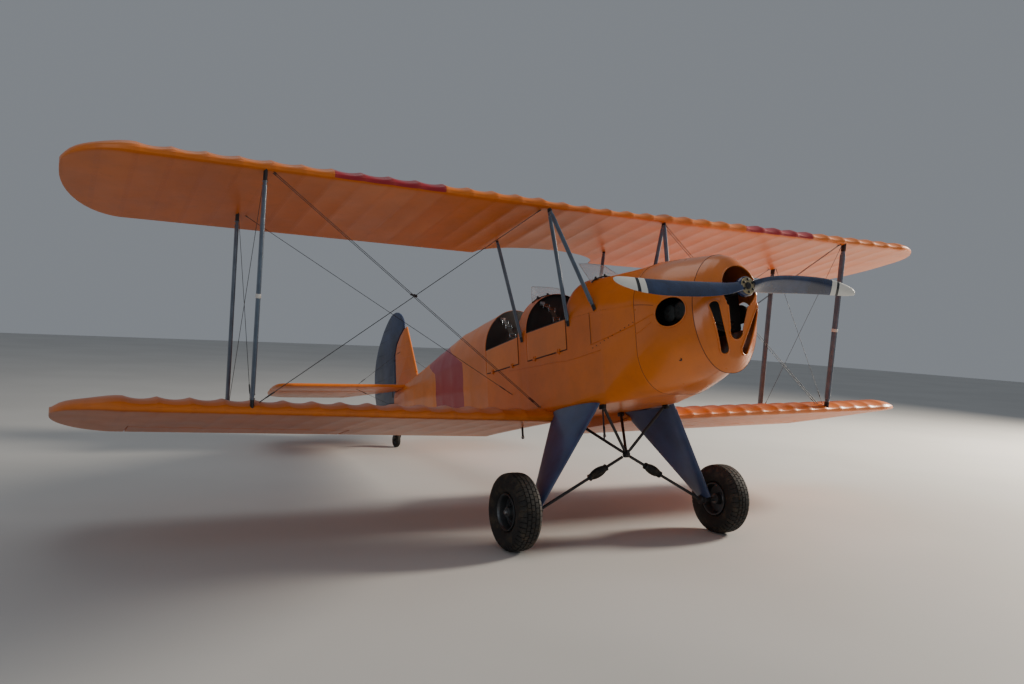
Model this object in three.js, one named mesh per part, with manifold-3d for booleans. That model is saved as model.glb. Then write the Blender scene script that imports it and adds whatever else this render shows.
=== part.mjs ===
// A two-seat light biplane parked on its main wheels and tail wheel.
// Millimetres. In the airframe group +X is forward along the thrust line, +Y is left and +Z is up,
// with the origin midway between the main wheels, on their axle line.

import * as THREE from 'three';
import { mergeVertices } from 'three/addons/utils/BufferGeometryUtils.js';
import Module from 'manifold-3d';

const wasm = await Module();
wasm.setup();

// Driving dimensions
const parkAngle = THREE.MathUtils.degToRad(12);
const seatGap = 0.3;
const pinGap = 0.6;
const runGap = 8;

const halfSpan = 3800;
const ribPitch = 200;
const lastRib = 3400;
const wingChord = 1250;
const wingDrop = Math.tan(THREE.MathUtils.degToRad(1));
const fabricSag = 13;
const upperWing = { noseX: 100, underZ: 2209, rise: 0.006, rootY: 0 };
const lowerWing = { noseX: -320, underZ: 638, rise: 0.028, rootY: 322 };
const cutOut = { halfWidth: 600, depth: 280 };
const tipPeak = 0.34;
const aileron = { innerY: 1700, outerY: 3300, hingeX: -1275, lugY: [1900, 3100] };

const strutY = 2640;
const strutSection = { chord: 64, thick: 28 };
const cabaneSection = { chord: 44, thick: 22 };
const cabaneTop = { frontX: 55, rearX: -800, y: 545 };
const cabaneFoot = { leadX: 290, midX: -78, rearX: -800, y: 352, leadZ: 1400, z: 1350 };

const firewallX = 750;
const cockpit = { frontX: -110, midFrontX: -730, midRearX: -870, rearX: -1500, doorZ: 1173 };
const wallThick = 22;
const sternX = -4600;

const hubZ = 1333;
const cowlSeamX = 1250;
const noseFace = { x: 1385, rakeFromZ: 1300, rake: 0.22 };
const propRadius = 1000;
const hub = { rearX: 1420, frontX: 1470, radius: 64, plateX: 1483, plateRadius: 55 };

const wheel = { y: 930, radius: 270, width: 178, rimRadius: 128 };
const axle = { radius: 16, bore: 16.6, innerY: 742, outerY: 1010 };
const gearLeg = { frontX: 254, rearX: -384, topY: 318, topZ: 735, footFrontX: 78, footRearX: -62, footY: 765 };
const tailWheel = { x: -4665, z: 802.5, radius: 85, width: 58 };

const tail = { planeZ: 1400, thick: 36, leadX: -4100, hingeX: -4560, rudderHingeX: -4625, halfSpan: 1565,
  sternLugZ: 1190 };

// Finishes
const finish = (color, roughness, metalness = 0) => {
  return new THREE.MeshStandardMaterial({ color, roughness, metalness });
};
const paint = {
  orange: finish(0xd9862a, 0.5),
  navy: finish(0x24365c, 0.4),
  strut: finish(0x51657c, 0.45),
  tyre: finish(0x1c1b1a, 0.9),
  rim: finish(0x77787a, 0.5, 0.6),
  steel: finish(0x3a3c40, 0.5, 0.7),
  engine: finish(0x26282a, 0.6, 0.5),
  seat: finish(0x2f2a26, 0.9),
  glass: finish(0xdfe8ea, 0.1),
  wire: finish(0x8c9196, 0.4, 0.8),
};

// Solids: closed meshes that can be joined and cut
function toSolid(geometry) {
  const bare = geometry.clone();
  bare.deleteAttribute('normal');
  bare.deleteAttribute('uv');
  const merged = mergeVertices(bare, 1e-4);
  const vertProperties = new Float32Array(merged.attributes.position.array);
  const triVerts = new Uint32Array(merged.index.array);
  return new wasm.Manifold(new wasm.Mesh({ numProp: 3, vertProperties, triVerts }));
}

function toGeometry(solid) {
  const mesh = solid.getMesh();
  const geometry = new THREE.BufferGeometry();
  geometry.setAttribute('position', new THREE.BufferAttribute(new Float32Array(mesh.vertProperties), 3));
  geometry.setIndex(new THREE.BufferAttribute(new Uint32Array(mesh.triVerts), 1));
  geometry.computeVertexNormals();
  return geometry;
}

function joined(solids) {
  return solids.reduce((whole, next) => whole.add(next));
}

function without(solid, ...cutters) {
  return cutters.reduce((rest, cutter) => rest.subtract(cutter), solid);
}

// A solid through rings of [x, y, z] points, every ring with the same number of them
function loft(rings, endFaces = fanFaces) {
  const size = rings[0].length;
  const points = rings.flat();
  const faces = [];
  for (let i = 0; i + 1 < rings.length; i++) {
    for (let j = 0; j < size; j++) {
      const a = i * size + j;
      const b = i * size + (j + 1) % size;
      faces.push(a, b, a + size, b, b + size, a + size);
    }
  }
  const ends = [endFaces(rings[0], 0, points), endFaces(rings.at(-1), (rings.length - 1) * size, points)];
  ends[0].forEach(([a, b, c]) => faces.push(a, c, b));
  ends[1].forEach(([a, b, c]) => faces.push(a, b, c));
  const positions = points.flat();
  const geometry = new THREE.BufferGeometry();
  geometry.setAttribute('position', new THREE.Float32BufferAttribute(positions, 3));
  geometry.setIndex(signedVolume(positions, faces) < 0 ? faces.reverse() : faces);
  return toSolid(geometry);
}

// End faces round a middle point, which is added to the points
function fanFaces(ring, first, points) {
  const middle = [0, 1, 2].map((axis) => ring.reduce((sum, point) => sum + point[axis], 0) / ring.length);
  const centre = points.push(middle) - 1;
  return ring.map((_, i) => [first + i, first + (i + 1) % ring.length, centre]);
}

// End faces of a ring that bends back on itself
function cutFaces(ring, first) {
  const flat = ring.map(([x, y]) => new THREE.Vector2(x, y));
  const wound = THREE.ShapeUtils.isClockWise(flat);
  return THREE.ShapeUtils.triangulateShape(flat.slice(), []).map(([a, b, c]) => {
    const clockwise = THREE.ShapeUtils.isClockWise([flat[a], flat[b], flat[c]]);
    return (clockwise === wound ? [a, b, c] : [a, c, b]).map((i) => first + i);
  });
}

function signedVolume(positions, faces) {
  const at = (i) => new THREE.Vector3().fromArray(positions, i * 3);
  let volume = 0;
  for (let i = 0; i < faces.length; i += 3) {
    volume += at(faces[i]).dot(at(faces[i + 1]).cross(at(faces[i + 2])));
  }
  return volume;
}

function box(x0, x1, y0, y1, z0, z1) {
  const geometry = new THREE.BoxGeometry(x1 - x0, y1 - y0, z1 - z0);
  geometry.translate((x0 + x1) / 2, (y0 + y1) / 2, (z0 + z1) / 2);
  return toSolid(geometry);
}

// A rod between two [x, y, z] points
function rod(from, to, radius, sides = 8) {
  const a = new THREE.Vector3(...from);
  const b = new THREE.Vector3(...to);
  const geometry = new THREE.CylinderGeometry(radius, radius, a.distanceTo(b), sides);
  const along = b.clone().sub(a).normalize();
  geometry.applyQuaternion(new THREE.Quaternion().setFromUnitVectors(new THREE.Vector3(0, 1, 0), along));
  geometry.translate((a.x + b.x) / 2, (a.y + b.y) / 2, (a.z + b.z) / 2);
  return toSolid(geometry);
}

// A streamlined strut, its longer side fore and aft
function strut(from, to, { chord, thick }, sides = 12) {
  const along = new THREE.Vector3(...to).sub(new THREE.Vector3(...from)).normalize();
  const side = new THREE.Vector3().crossVectors(along, new THREE.Vector3(1, 0, 0)).normalize();
  const fore = new THREE.Vector3().crossVectors(side, along);
  const ringAt = (centre) => Array.from({ length: sides }, (_, i) => {
    const turn = (i / sides) * 2 * Math.PI;
    const point = new THREE.Vector3(...centre);
    point.addScaledVector(fore, (Math.cos(turn) * chord) / 2);
    point.addScaledVector(side, (Math.sin(turn) * thick) / 2);
    return point.toArray();
  });
  return loft([ringAt(from), ringAt(to)]);
}

// Flat outlines pushed along an axis; an outline lists its points in the two other axes
const axisBases = {
  x: new THREE.Matrix4().makeBasis(
    new THREE.Vector3(0, 1, 0), new THREE.Vector3(0, 0, 1), new THREE.Vector3(1, 0, 0)),
  y: new THREE.Matrix4().makeBasis(
    new THREE.Vector3(1, 0, 0), new THREE.Vector3(0, 0, 1), new THREE.Vector3(0, -1, 0)),
  z: new THREE.Matrix4(),
};

function plate(axis, outline, low, high, bevel = 0) {
  const shape = new THREE.Shape(outline.map(([a, b]) => new THREE.Vector2(a, b)));
  const geometry = new THREE.ExtrudeGeometry(shape, {
    depth: high - low - 2 * bevel,
    bevelEnabled: bevel > 0,
    bevelThickness: bevel,
    bevelSize: bevel,
    bevelOffset: -bevel,
    bevelSegments: 1,
  });
  geometry.translate(0, 0, (axis === 'y' ? -high : low) + bevel);
  geometry.applyMatrix4(axisBases[axis]);
  return toSolid(geometry);
}

// The parts, filled in by the sections below
const airframe = new THREE.Group();

function addPart(name, solid, material, parent = airframe) {
  const mesh = new THREE.Mesh(toGeometry(solid), material);
  mesh.name = name;
  parent.add(mesh);
  return mesh;
}

const sides = [['right', -1], ['left', 1]];

// Nose bowl sections, from its seam to its raked face
// share of the way to the face, half width, bottom, sill, top, corner width, corner height
const noseSections = [
  [0, 268, 815, 1212, 1590, 250, 397],
  [0.35, 236, 830, 1227, 1574, 222, 397],
  [0.65, 202, 848, 1246, 1550, 192, 398],
  [0.88, 171, 870, 1275, 1521, 163, 400],
  [1, 155, 892, 1310, 1497, 148, 400],
];

// Fuselage sections, from the cowling to the stern
// x, half width, bottom, sill, top, corner width, corner height
const cowlSections = [
  [cowlSeamX, 268, 850, 1212, 1590, 250, 362],
  [1133, 300, 822, 1240, 1610, 270, 380],
  [980, 335, 780, 1290, 1637, 280, 380],
  [firewallX, 347, 738, 1340, 1667, 240, 300],
];
const bodySections = [
  [firewallX, 347, 738, 1340, 1667, 240, 300],
  [350, 350, 722, 1385, 1696, 70, 80],
  [cockpit.frontX, 350, 720, 1410, 1750, 45, 45],
  [cockpit.midFrontX, 350, 720, 1410, 1768, 45, 45],
  [cockpit.midRearX, 349, 722, 1405, 1776, 45, 45],
  [cockpit.rearX, 340, 735, 1385, 1782, 45, 45],
];
const sternSections = [
  [cockpit.rearX, 340, 735, 1385, 1782, 45, 45],
  [-2370, 272, 830, 1372, 1734, 40, 40],
  [-3000, 218, 905, 1362, 1630, 35, 35],
  [-3700, 150, 990, 1352, 1512, 30, 30],
  [-4085, 112, 1040, 1345, 1462, 25, 25],
  [sternX, 40, 1105, 1300, 1400, 20, 20],
];

function bodyRing([x, halfWidth, bottom, sill, top, cornerWidth, cornerHeight], inset = 0) {
  const width = halfWidth - inset;
  const wide = Math.max(cornerWidth - inset, 4);
  const high = Math.max(cornerHeight - inset, 4);
  const floor = bottom + inset;
  const cornerSteps = 4;
  const archSteps = 10;
  const ring = [];
  for (let i = 0; i <= cornerSteps; i++) {
    const turn = -Math.PI / 2 + (i / cornerSteps) * (Math.PI / 2);
    ring.push([x, width - wide + wide * Math.cos(turn), floor + high + high * Math.sin(turn)]);
  }
  for (let i = 0; i <= archSteps; i++) {
    const turn = (i / archSteps) * Math.PI;
    ring.push([x, width * Math.cos(turn), sill + (top - inset - sill) * Math.sin(turn)]);
  }
  for (let i = cornerSteps; i >= 0; i--) {
    const turn = -Math.PI / 2 + (i / cornerSteps) * (Math.PI / 2);
    ring.push([x, -(width - wide + wide * Math.cos(turn)), floor + high + high * Math.sin(turn)]);
  }
  return ring;
}

function bodyLoft(sections, inset = 0) {
  return loft(sections.map((section) => bodyRing(section, inset)));
}

function noseRing([share, ...section], inset, shift) {
  return bodyRing([0, ...section], inset).map(([, y, z]) => {
    const faceX = noseFace.x - noseFace.rake * Math.max(0, noseFace.rakeFromZ - z);
    return [cowlSeamX + share * (faceX - cowlSeamX) + shift, y, z];
  });
}

function shifted(sections, frontShift, rearShift) {
  return sections.map(([x, ...rest], i) => {
    const last = i === sections.length - 1;
    return [x + (i === 0 ? frontShift : 0) + (last ? rearShift : 0), ...rest];
  });
}

const bodySolid = bodyLoft(shifted(bodySections, 0, seatGap));
const bodyCavity = bodyLoft(shifted(bodySections, -12, -40), wallThick);
const bodyTube = bodySolid.subtract(bodyCavity);
const sternSolid = bodyLoft(sternSections);
const trimSolid = bodySolid.add(bodyLoft(shifted(sternSections, 2, 0)));

const sillLine = [
  [firewallX + 60, 1340],
  [350, 1385],
  [cockpit.frontX, 1410],
  [cockpit.midFrontX, 1410],
  [cockpit.midRearX, 1405],
  [cockpit.rearX - 60, 1383],
];
const wide = 600;
const belowSill = plate('y', [...sillLine, [cockpit.rearX - 60, 600], [firewallX + 60, 600]], -wide, wide);
const aboveSill = plate('y', [...sillLine, [cockpit.rearX - 60, 2100], [firewallX + 60, 2100]], -wide, wide)
  .translate([0, 0, seatGap]);

// Doors: one beside each seat on both sides, hinged along their bottom edges
const doorGap = 6;
const doors = [
  ['front', cockpit.midFrontX, cockpit.frontX],
  ['rear', cockpit.rearX + 12, cockpit.midRearX],
];

function doorBlock([, rearX, frontX], side, gap) {
  const inner = side * (wallThick + 120);
  const outer = side * wide;
  const [low, high] = [Math.min(inner, outer), Math.max(inner, outer)];
  return box(rearX + gap, frontX - gap, low, high, cockpit.doorZ + gap, 1500);
}

const doorHinge = { out: 6, z: cockpit.doorZ + 1, pin: 3, barrel: 5.8, half: 7, reach: 18 };

function sideAt(x) {
  const rear = bodySections.findIndex(([sectionX]) => sectionX <= x);
  const [x1, y1] = bodySections[rear];
  const [x0, y0] = bodySections[rear - 1];
  return y0 + ((y1 - y0) * (x0 - x)) / (x0 - x1);
}

// Two hinges under a door: barrels on the door on both sides of one on the shell
function doorHinges([, rearX, frontX], side) {
  const { out, z, pin, barrel, half, reach } = doorHinge;
  const moving = [];
  const fixed = [];
  for (const share of [0.2, 0.8]) {
    const x = rearX + (frontX - rearX) * share;
    const skinY = sideAt(x);
    const y = (skinY + out) * side;
    const order = (a, b) => [Math.min(a * side, b * side), Math.max(a * side, b * side)];
    moving.push(rod([x - reach, y, z], [x + reach, y, z], pin, 10));
    for (const [from, to] of [[-reach, -half - 2], [half + 2, reach]]) {
      moving.push(rod([x + from, y, z], [x + to, y, z], barrel, 10));
      moving.push(box(x + from, x + to, ...order(skinY + 1, skinY + out), z, z + 15));
      moving.push(box(x + from, x + to, ...order(skinY - 8, skinY + 2), z + 8, z + 15));
    }
    const eye = rod([x - half, y, z], [x + half, y, z], barrel, 10);
    const foot = box(x - half, x + half, ...order(skinY - 8, skinY + out), z - 15, z - 3);
    fixed.push(eye.add(foot).subtract(rod([x - 30, y, z], [x + 30, y, z], pin + pinGap, 10)));
  }
  return { moving: joined(moving), fixed: joined(fixed) };
}

const archBulkhead = { rearX: -790, frontX: -774 };

function makeFuselage() {
  let shell = bodyTube.intersect(belowSill);
  for (const door of doors) {
    for (const [sideName, side] of sides) {
      const hinges = doorHinges(door, side);
      const panel = bodyTube.intersect(belowSill).intersect(doorBlock(door, side, doorGap));
      addPart(`door_${door[0]}_${sideName}`, panel.add(hinges.moving), paint.orange);
      shell = shell.subtract(doorBlock(door, side, 0)).add(hinges.fixed);
    }
  }
  addPart('fuselage_shell', shell, paint.orange);
  const deck = bodyTube.intersect(aboveSill);
  addPart('deck_front', deck.intersect(box(cockpit.frontX, 900, -wide, wide, 600, 2100)), paint.orange);
  const arch = deck.intersect(box(cockpit.midRearX, cockpit.midFrontX, -wide, wide, 600, 2100));
  const bulkhead = box(archBulkhead.rearX, archBulkhead.frontX, -wide, wide, 600, 2100);
  addPart('deck_middle', arch.add(bodySolid.intersect(aboveSill).intersect(bulkhead)), paint.orange);
  const notch = box(sternX - 50, tail.leadX + 12, -200, 200, tail.planeZ - tail.thick / 2 - seatGap, 1600);
  const sternLug = hingeLugs([[tail.rudderHingeX, 0, tail.sternLugZ]], 'z');
  addPart('fuselage_rear', sternSolid.subtract(notch).add(sternLug.lugs), paint.orange);
}

// Engine, cowling and propeller
const sideHole = { x: 1081, z: 1230, halfLength: 123, halfHeight: 97 };
const cowlWall = 6;
const openings = {
  fromX: 1275, toX: 1500, throatZ: 1342, throatRadius: 143,
  mouth: { topZ: 1270, topRadius: 100, bottomZ: 1074, bottomRadius: 58 },
  cheek: { topY: 180, topZ: 1229, topRadius: 25, bottomY: 84, bottomZ: 958, bottomRadius: 33 },
};
const cylinder = { apart: 50, radius: 66, reach: 284 };

function ovalPoints(a, b, halfA, halfB, count = 20) {
  return Array.from({ length: count }, (_, i) => {
    const turn = (i / count) * 2 * Math.PI;
    return [a + halfA * Math.cos(turn), b + halfB * Math.sin(turn)];
  });
}

// A cutter through the face of the bowl, round at both ends
function faceSlot([topY, topZ, topRadius], [bottomY, bottomZ, bottomRadius]) {
  const { fromX, toX } = openings;
  return wasm.Manifold.hull([
    rod([fromX, topY, topZ], [toX, topY, topZ], topRadius, 24),
    rod([fromX, bottomY, bottomZ], [toX, bottomY, bottomZ], bottomRadius, 24),
  ]);
}

function makeCowling() {
  const cowlOuter = bodyLoft(shifted(cowlSections, -seatGap, seatGap));
  const cowlInner = bodyLoft(shifted(cowlSections, 30, -30), cowlWall);
  const holeOutline = ovalPoints(sideHole.x, sideHole.z, sideHole.halfLength, sideHole.halfHeight);
  addPart('cowl_main', without(cowlOuter, cowlInner, plate('y', holeOutline, -wide, wide)), paint.orange);

  const bowlOuter = loft(noseSections.map((section) => noseRing(section, 0, 0)));
  const bowlInner = loft(noseSections.map((section, i) => {
    return noseRing(section, cowlWall, i === 0 ? -30 : -cowlWall);
  }));
  const { mouth, cheek, fromX, toX, throatZ, throatRadius } = openings;
  const throat = rod([fromX, 0, throatZ], [toX, 0, throatZ], throatRadius, 32);
  const mouthCut = faceSlot([0, mouth.topZ, mouth.topRadius], [0, mouth.bottomZ, mouth.bottomRadius]);
  const cheekCuts = sides.map(([, side]) => {
    const top = [side * cheek.topY, cheek.topZ, cheek.topRadius];
    return faceSlot(top, [side * cheek.bottomY, cheek.bottomZ, cheek.bottomRadius]);
  });
  addPart('cowl_nose', without(bowlOuter, bowlInner, throat, mouthCut, ...cheekCuts), paint.orange);
}

function makeEngine() {
  const block = box(firewallX + seatGap, 1235, -165, 165, 1090, 1370);
  const cylinders = [-cylinder.apart, cylinder.apart].map((shift) => {
    const [x, z] = [sideHole.x + shift, sideHole.z];
    return rod([x, -cylinder.reach, z], [x, cylinder.reach, z], cylinder.radius, 20);
  });
  const shaft = rod([1200, 0, hubZ], [hub.rearX - seatGap, 0, hubZ], 34, 16);
  addPart('engine_block', joined([block, ...cylinders, shaft]), paint.engine);
}

// Propeller blade sections
// radius, chord, pitch in degrees, thickness, sweep off the blade's radial line
const bladeSections = [
  [40, 92, 58, 58, 5],
  [150, 112, 42, 42, 21],
  [300, 124, 33, 30, 35],
  [480, 120, 27, 22, 45],
  [680, 112, 21, 17, 49],
  [820, 96, 18, 13, 44],
  [910, 74, 16, 11, 35],
  [965, 50, 15, 9, 28],
  [propRadius, 20, 15, 6, 22],
];

function bladeRing([radius, chord, pitch, thick, sweep], side) {
  const lean = THREE.MathUtils.degToRad(pitch);
  return ovalPoints(0, 0, chord / 2, thick / 2, 12).map(([along, across]) => {
    const x = along * Math.sin(lean) * side + across * Math.cos(lean);
    const z = along * Math.cos(lean) + (sweep - across * Math.sin(lean)) * side;
    return [x, side * radius, z];
  });
}

function makePropeller() {
  const bladeX = (hub.rearX + hub.frontX) / 2;
  const blades = sides.map(([, side]) => loft(bladeSections.map((section) => bladeRing(section, side)))
    .translate([bladeX, 0, hubZ]));
  const boss = rod([hub.rearX, 0, hubZ], [hub.frontX, 0, hubZ], hub.radius, 24);
  const frontPlate = rod([hub.frontX - 2, 0, hubZ], [hub.plateX, 0, hubZ], hub.plateRadius, 24);
  addPart('propeller', joined([...blades, boss, frontPlate]), paint.navy);
}

// Wing sections
// share of the chord from the nose, upper height and lower height as shares of the chord
const aerofoil = [
  [0.000, 0.024, 0.024],
  [0.006, 0.041, 0.008],
  [0.026, 0.056, 0.000],
  [0.100, 0.088, 0.000],
  [0.250, 0.106, 0.000],
  [0.450, 0.100, 0.000],
  [0.700, 0.066, 0.000],
  [1.000, 0.006, 0.000],
];

function wingEdges(wing, y) {
  const far = Math.max(0, (y - lastRib) / (halfSpan - lastRib));
  const fall = 1 - Math.sqrt(Math.max(0, 1 - far * far));
  let tailX = wing.noseX - wingChord + (1 - tipPeak) * wingChord * fall * 0.93;
  const noseX = wing.noseX - tipPeak * wingChord * fall * 0.93;
  if (wing === upperWing && y < cutOut.halfWidth) {
    tailX += cutOut.depth * Math.sqrt(1 - (y / cutOut.halfWidth) ** 2);
  }
  return [noseX, tailX];
}

function wingRing(wing, side, y, sag) {
  const [noseX, tailX] = wingEdges(wing, y);
  const chord = noseX - tailX;
  const thickness = Math.max(chord, wingChord * 0.34);
  const base = wing.underZ + wing.rise * y + Math.max(0, y - lastRib) * 0.05;
  const place = (share, height, dip) => {
    const x = noseX - share * chord;
    return [x, side * y, base + height * thickness - (wing.noseX - x) * wingDrop - dip];
  };
  const sagAt = (share) => sag * Math.sin(Math.PI * Math.min(1, share * 1.6 + 0.25)) ** 0.7;
  const over = aerofoil.map(([share, high]) => place(share, high, share > 0 && share < 1 ? sagAt(share) : 0));
  const under = aerofoil.slice(1).map(([share, , low]) => {
    return place(share, low, share > 0.02 && share < 1 ? -0.4 * sagAt(share) : 0);
  });
  return [...over, ...under.reverse()];
}

function wingStations(wing) {
  const stations = [];
  if (wing === upperWing) {
    [540, 585, 599].forEach((y) => stations.push([y, 0.5]));
  }
  stations.push([wing.rootY, 0]);
  const halfBay = ribPitch / 2;
  for (let y = Math.ceil((wing.rootY + 20) / halfBay) * halfBay; y < lastRib; y += halfBay) {
    stations.push([y, y % ribPitch === 0 ? 0 : 1]);
  }
  stations.push([lastRib, 0]);
  [0.3, 0.55, 0.75, 0.89, 0.97, 1].forEach((far) => {
    stations.push([lastRib + far * (halfSpan - lastRib), 0]);
  });
  return stations.sort((a, b) => a[0] - b[0]);
}

function wingSolid(wing, side) {
  return loft(wingStations(wing).map(([y, sag]) => wingRing(wing, side, y, sag * fabricSag)));
}

function wingMiddle(wing, x, y) {
  const share = (wing.noseX - x) / wingChord;
  const [before, after] = [aerofoil.findLast(([s]) => s <= share), aerofoil.find(([s]) => s > share)];
  const height = before[1] + ((after[1] - before[1]) * (share - before[0])) / (after[0] - before[0]);
  const base = wing.underZ + wing.rise * y - (wing.noseX - x) * wingDrop;
  return { base, half: (height * wingChord) / 2 };
}

// Lugs that carry a hinged surface on short pins, the root of each ahead of its pin
const lug = { thick: 8, radius: 11, pin: 5, notchHalf: 13, notchRadius: 19, reach: 50 };

function hingeLugs(points, axis) {
  const shift = (point, amount) => point.map((value, i) => value + (i === 'xyz'.indexOf(axis) ? amount : 0));
  const across = (point, half, radius) => rod(shift(point, -half), shift(point, half), radius, 16);
  const lugs = [];
  const pins = [];
  const notches = [];
  for (const point of points) {
    const [x, y, z] = point;
    const eye = across(point, lug.thick / 2, lug.radius);
    const root = across([x + lug.reach, y, z], lug.thick / 2, lug.radius);
    lugs.push(wasm.Manifold.hull([eye, root]).subtract(across(point, lug.notchHalf, lug.pin + pinGap)));
    pins.push(across(point, lug.notchHalf + 6, lug.pin));
    const mouth = across([x + lug.reach, y, z], lug.notchHalf, lug.notchRadius);
    notches.push(wasm.Manifold.hull([across(point, lug.notchHalf, lug.notchRadius), mouth]));
  }
  return { lugs: joined(lugs), pins: joined(pins), notches: joined(notches) };
}

const wings = {};

function makeWings() {
  for (const [sideName, side] of sides) {
    wings[`upper_${sideName}`] = wingSolid(upperWing, side).subtract(
      box(-2000, 500, -seatGap / 2, seatGap / 2, 2000, 2600));
    const hull = trimSolid.translate([0, side * seatGap, 0]);
    wings[`lower_${sideName}`] = wingSolid(lowerWing, side).subtract(hull);
    addPart(`upper_wing_${sideName}`, wings[`upper_${sideName}`], paint.orange);
    makeAileron(sideName, side);
  }
}

function makeAileron(sideName, side) {
  const inner = wingMiddle(lowerWing, aileron.hingeX, aileron.innerY);
  const outer = wingMiddle(lowerWing, aileron.hingeX, aileron.outerY);
  const radius = inner.half - fabricSag;
  const ends = [[aileron.innerY, inner], [aileron.outerY, outer]].map(([y, middle]) => {
    return [aileron.hingeX, side * y, middle.base + middle.half - fabricSag / 2];
  });
  const nose = rod(...ends, radius, 16);
  const order = (a, b) => [Math.min(a, b), Math.max(a, b)];
  const span = order(side * aileron.innerY, side * aileron.outerY);
  const tailBlock = box(-2000, aileron.hingeX, ...span, 400, 1000);
  const flap = wings[`lower_${sideName}`].intersect(tailBlock).add(nose);
  const gap = box(-2000, aileron.hingeX + radius + runGap,
    ...order(side * (aileron.innerY - runGap), side * (aileron.outerY + runGap)), 400, 1000);
  const lugs = hingeLugs(aileron.lugY.map((y) => {
    const share = (y - aileron.innerY) / (aileron.outerY - aileron.innerY);
    return ends[0].map((value, i) => value + (ends[1][i] - value) * share);
  }), 'y');
  addPart(`aileron_${sideName}`, flap.subtract(lugs.notches).add(lugs.pins), paint.orange);
  addPart(`lower_wing_${sideName}`, wings[`lower_${sideName}`].subtract(gap).add(lugs.lugs), paint.orange);
}

// Struts between the wings, and the cabane above the fuselage
const wingJoints = [
  ['front', upperWing.noseX - 42, lowerWing.noseX - 42],
  ['rear', upperWing.noseX - 935, lowerWing.noseX - 918],
];

function makeStruts() {
  const dropped = (key, drop) => wings[key].translate([0, 0, drop]);
  for (const [sideName, side] of sides) {
    const upper = dropped(`upper_${sideName}`, -seatGap);
    const lower = dropped(`lower_${sideName}`, seatGap);
    for (const [place, topX, footX] of wingJoints) {
      const topZ = upperWing.underZ + upperWing.rise * strutY + 18;
      const footZ = lowerWing.underZ + lowerWing.rise * strutY + 26;
      const post = strut([footX, side * strutY, footZ], [topX, side * strutY, topZ], strutSection);
      addPart(`wing_strut_${place}_${sideName}`, without(post, upper, lower), paint.strut);
    }
    const topZ = upperWing.underZ + 20;
    const foot = (x, z) => [x, side * (cabaneFoot.y - 6), z];
    const top = (x) => [x, side * cabaneTop.y, topZ];
    const trim = [upper, trimSolid];
    const legs = [
      strut(foot(cabaneFoot.leadX, cabaneFoot.leadZ), top(cabaneTop.frontX), cabaneSection),
      strut(foot(cabaneFoot.midX, cabaneFoot.z), top(cabaneTop.frontX), cabaneSection),
    ];
    addPart(`cabane_front_${sideName}`, keepOutside(joined(legs), side, trim), paint.strut);
    const rear = strut(foot(cabaneFoot.rearX, cabaneFoot.z), top(cabaneTop.rearX), cabaneSection);
    addPart(`cabane_rear_${sideName}`, keepOutside(rear, side, trim), paint.strut);
  }
}

// The trimming solids grown by the seat gap towards one side
function keepOutside(solid, side, [upper, hull]) {
  return without(solid, upper, hull.translate([0, side * seatGap, 0]));
}

// Stays: the doubled flying and landing wires of the front bay, on one rod where they cross
const stays = {
  radius: 3, spread: 24, bodyX: -566, bodyY: 335, bodyZ: 779,
  rodRadius: 7, rodPast: 30, sleeve: 18, sleeveRadius: 11,
};

function makeStays() {
  for (const [sideName, side] of sides) {
    const tipZ = (wing) => wing.underZ + wing.rise * strutY;
    const flying = [
      [wingJoints[0][1], side * (strutY - 30), tipZ(upperWing) + 14],
      [stays.bodyX, side * stays.bodyY, stays.bodyZ],
    ];
    const landing = [
      [cabaneTop.frontX - 45, side * (cabaneTop.y + 30), upperWing.underZ + 14],
      [wingJoints[0][2] - 55, side * (strutY - 34), tipZ(lowerWing) + 70],
    ];
    const pairOf = (ends) => joined([-stays.spread / 2, stays.spread / 2].map((shift) => {
      return rod(...ends.map(([x, y, z]) => [x + shift, y, z]), stays.radius, 6);
    }));
    const [onFlying, onLanding] = nearestPoints(...flying, ...landing);
    const heading = onLanding.clone().sub(onFlying).normalize();
    const spacer = (point, before, after, radius) => rod(
      point.clone().addScaledVector(heading, -before).toArray(),
      point.clone().addScaledVector(heading, after).toArray(), radius, 12);
    const apart = onFlying.distanceTo(onLanding);
    const crossRod = spacer(onFlying, stays.rodPast, apart + stays.rodPast, stays.rodRadius);
    const bore = spacer(onLanding, stays.rodPast, stays.rodPast * 2, stays.rodRadius + seatGap);
    const sleeve = spacer(onLanding, stays.sleeve, stays.sleeve, stays.sleeveRadius);
    const trim = [
      wings[`upper_${sideName}`].translate([0, 0, -seatGap]),
      wings[`lower_${sideName}`].translate([0, 0, seatGap]),
      trimSolid.translate([0, side * seatGap, 0]),
    ];
    addPart(`flying_wires_${sideName}`, without(pairOf(flying).add(crossRod), ...trim), paint.wire);
    addPart(`landing_wires_${sideName}`, without(pairOf(landing).add(sleeve), bore, ...trim), paint.wire);
  }
}

function nearestPoints(a0, a1, b0, b1) {
  const [a, b] = [new THREE.Vector3(...a0), new THREE.Vector3(...b0)];
  const u = new THREE.Vector3(...a1).sub(a);
  const v = new THREE.Vector3(...b1).sub(b);
  const w = a.clone().sub(b);
  const [uu, uv, vv, uw, vw] = [u.dot(u), u.dot(v), v.dot(v), u.dot(w), v.dot(w)];
  const spread = uu * vv - uv * uv;
  const alongA = (uv * vw - vv * uw) / spread;
  const alongB = (uu * vw - uv * uw) / spread;
  return [a.addScaledVector(u, alongA), b.addScaledVector(v, alongB)];
}

// Windscreens: raked panes standing on the decks
// name, then the pane at its foot and at its top: height, x at the middle, x at the sides, half width
const screens = [
  ['front', [1690, 85, 36, 200], [1890, -185, -215, 125]],
  ['rear', [1715, -775, -840, 210], [1870, -925, -950, 145]],
];
const screenThick = 5;

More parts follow.
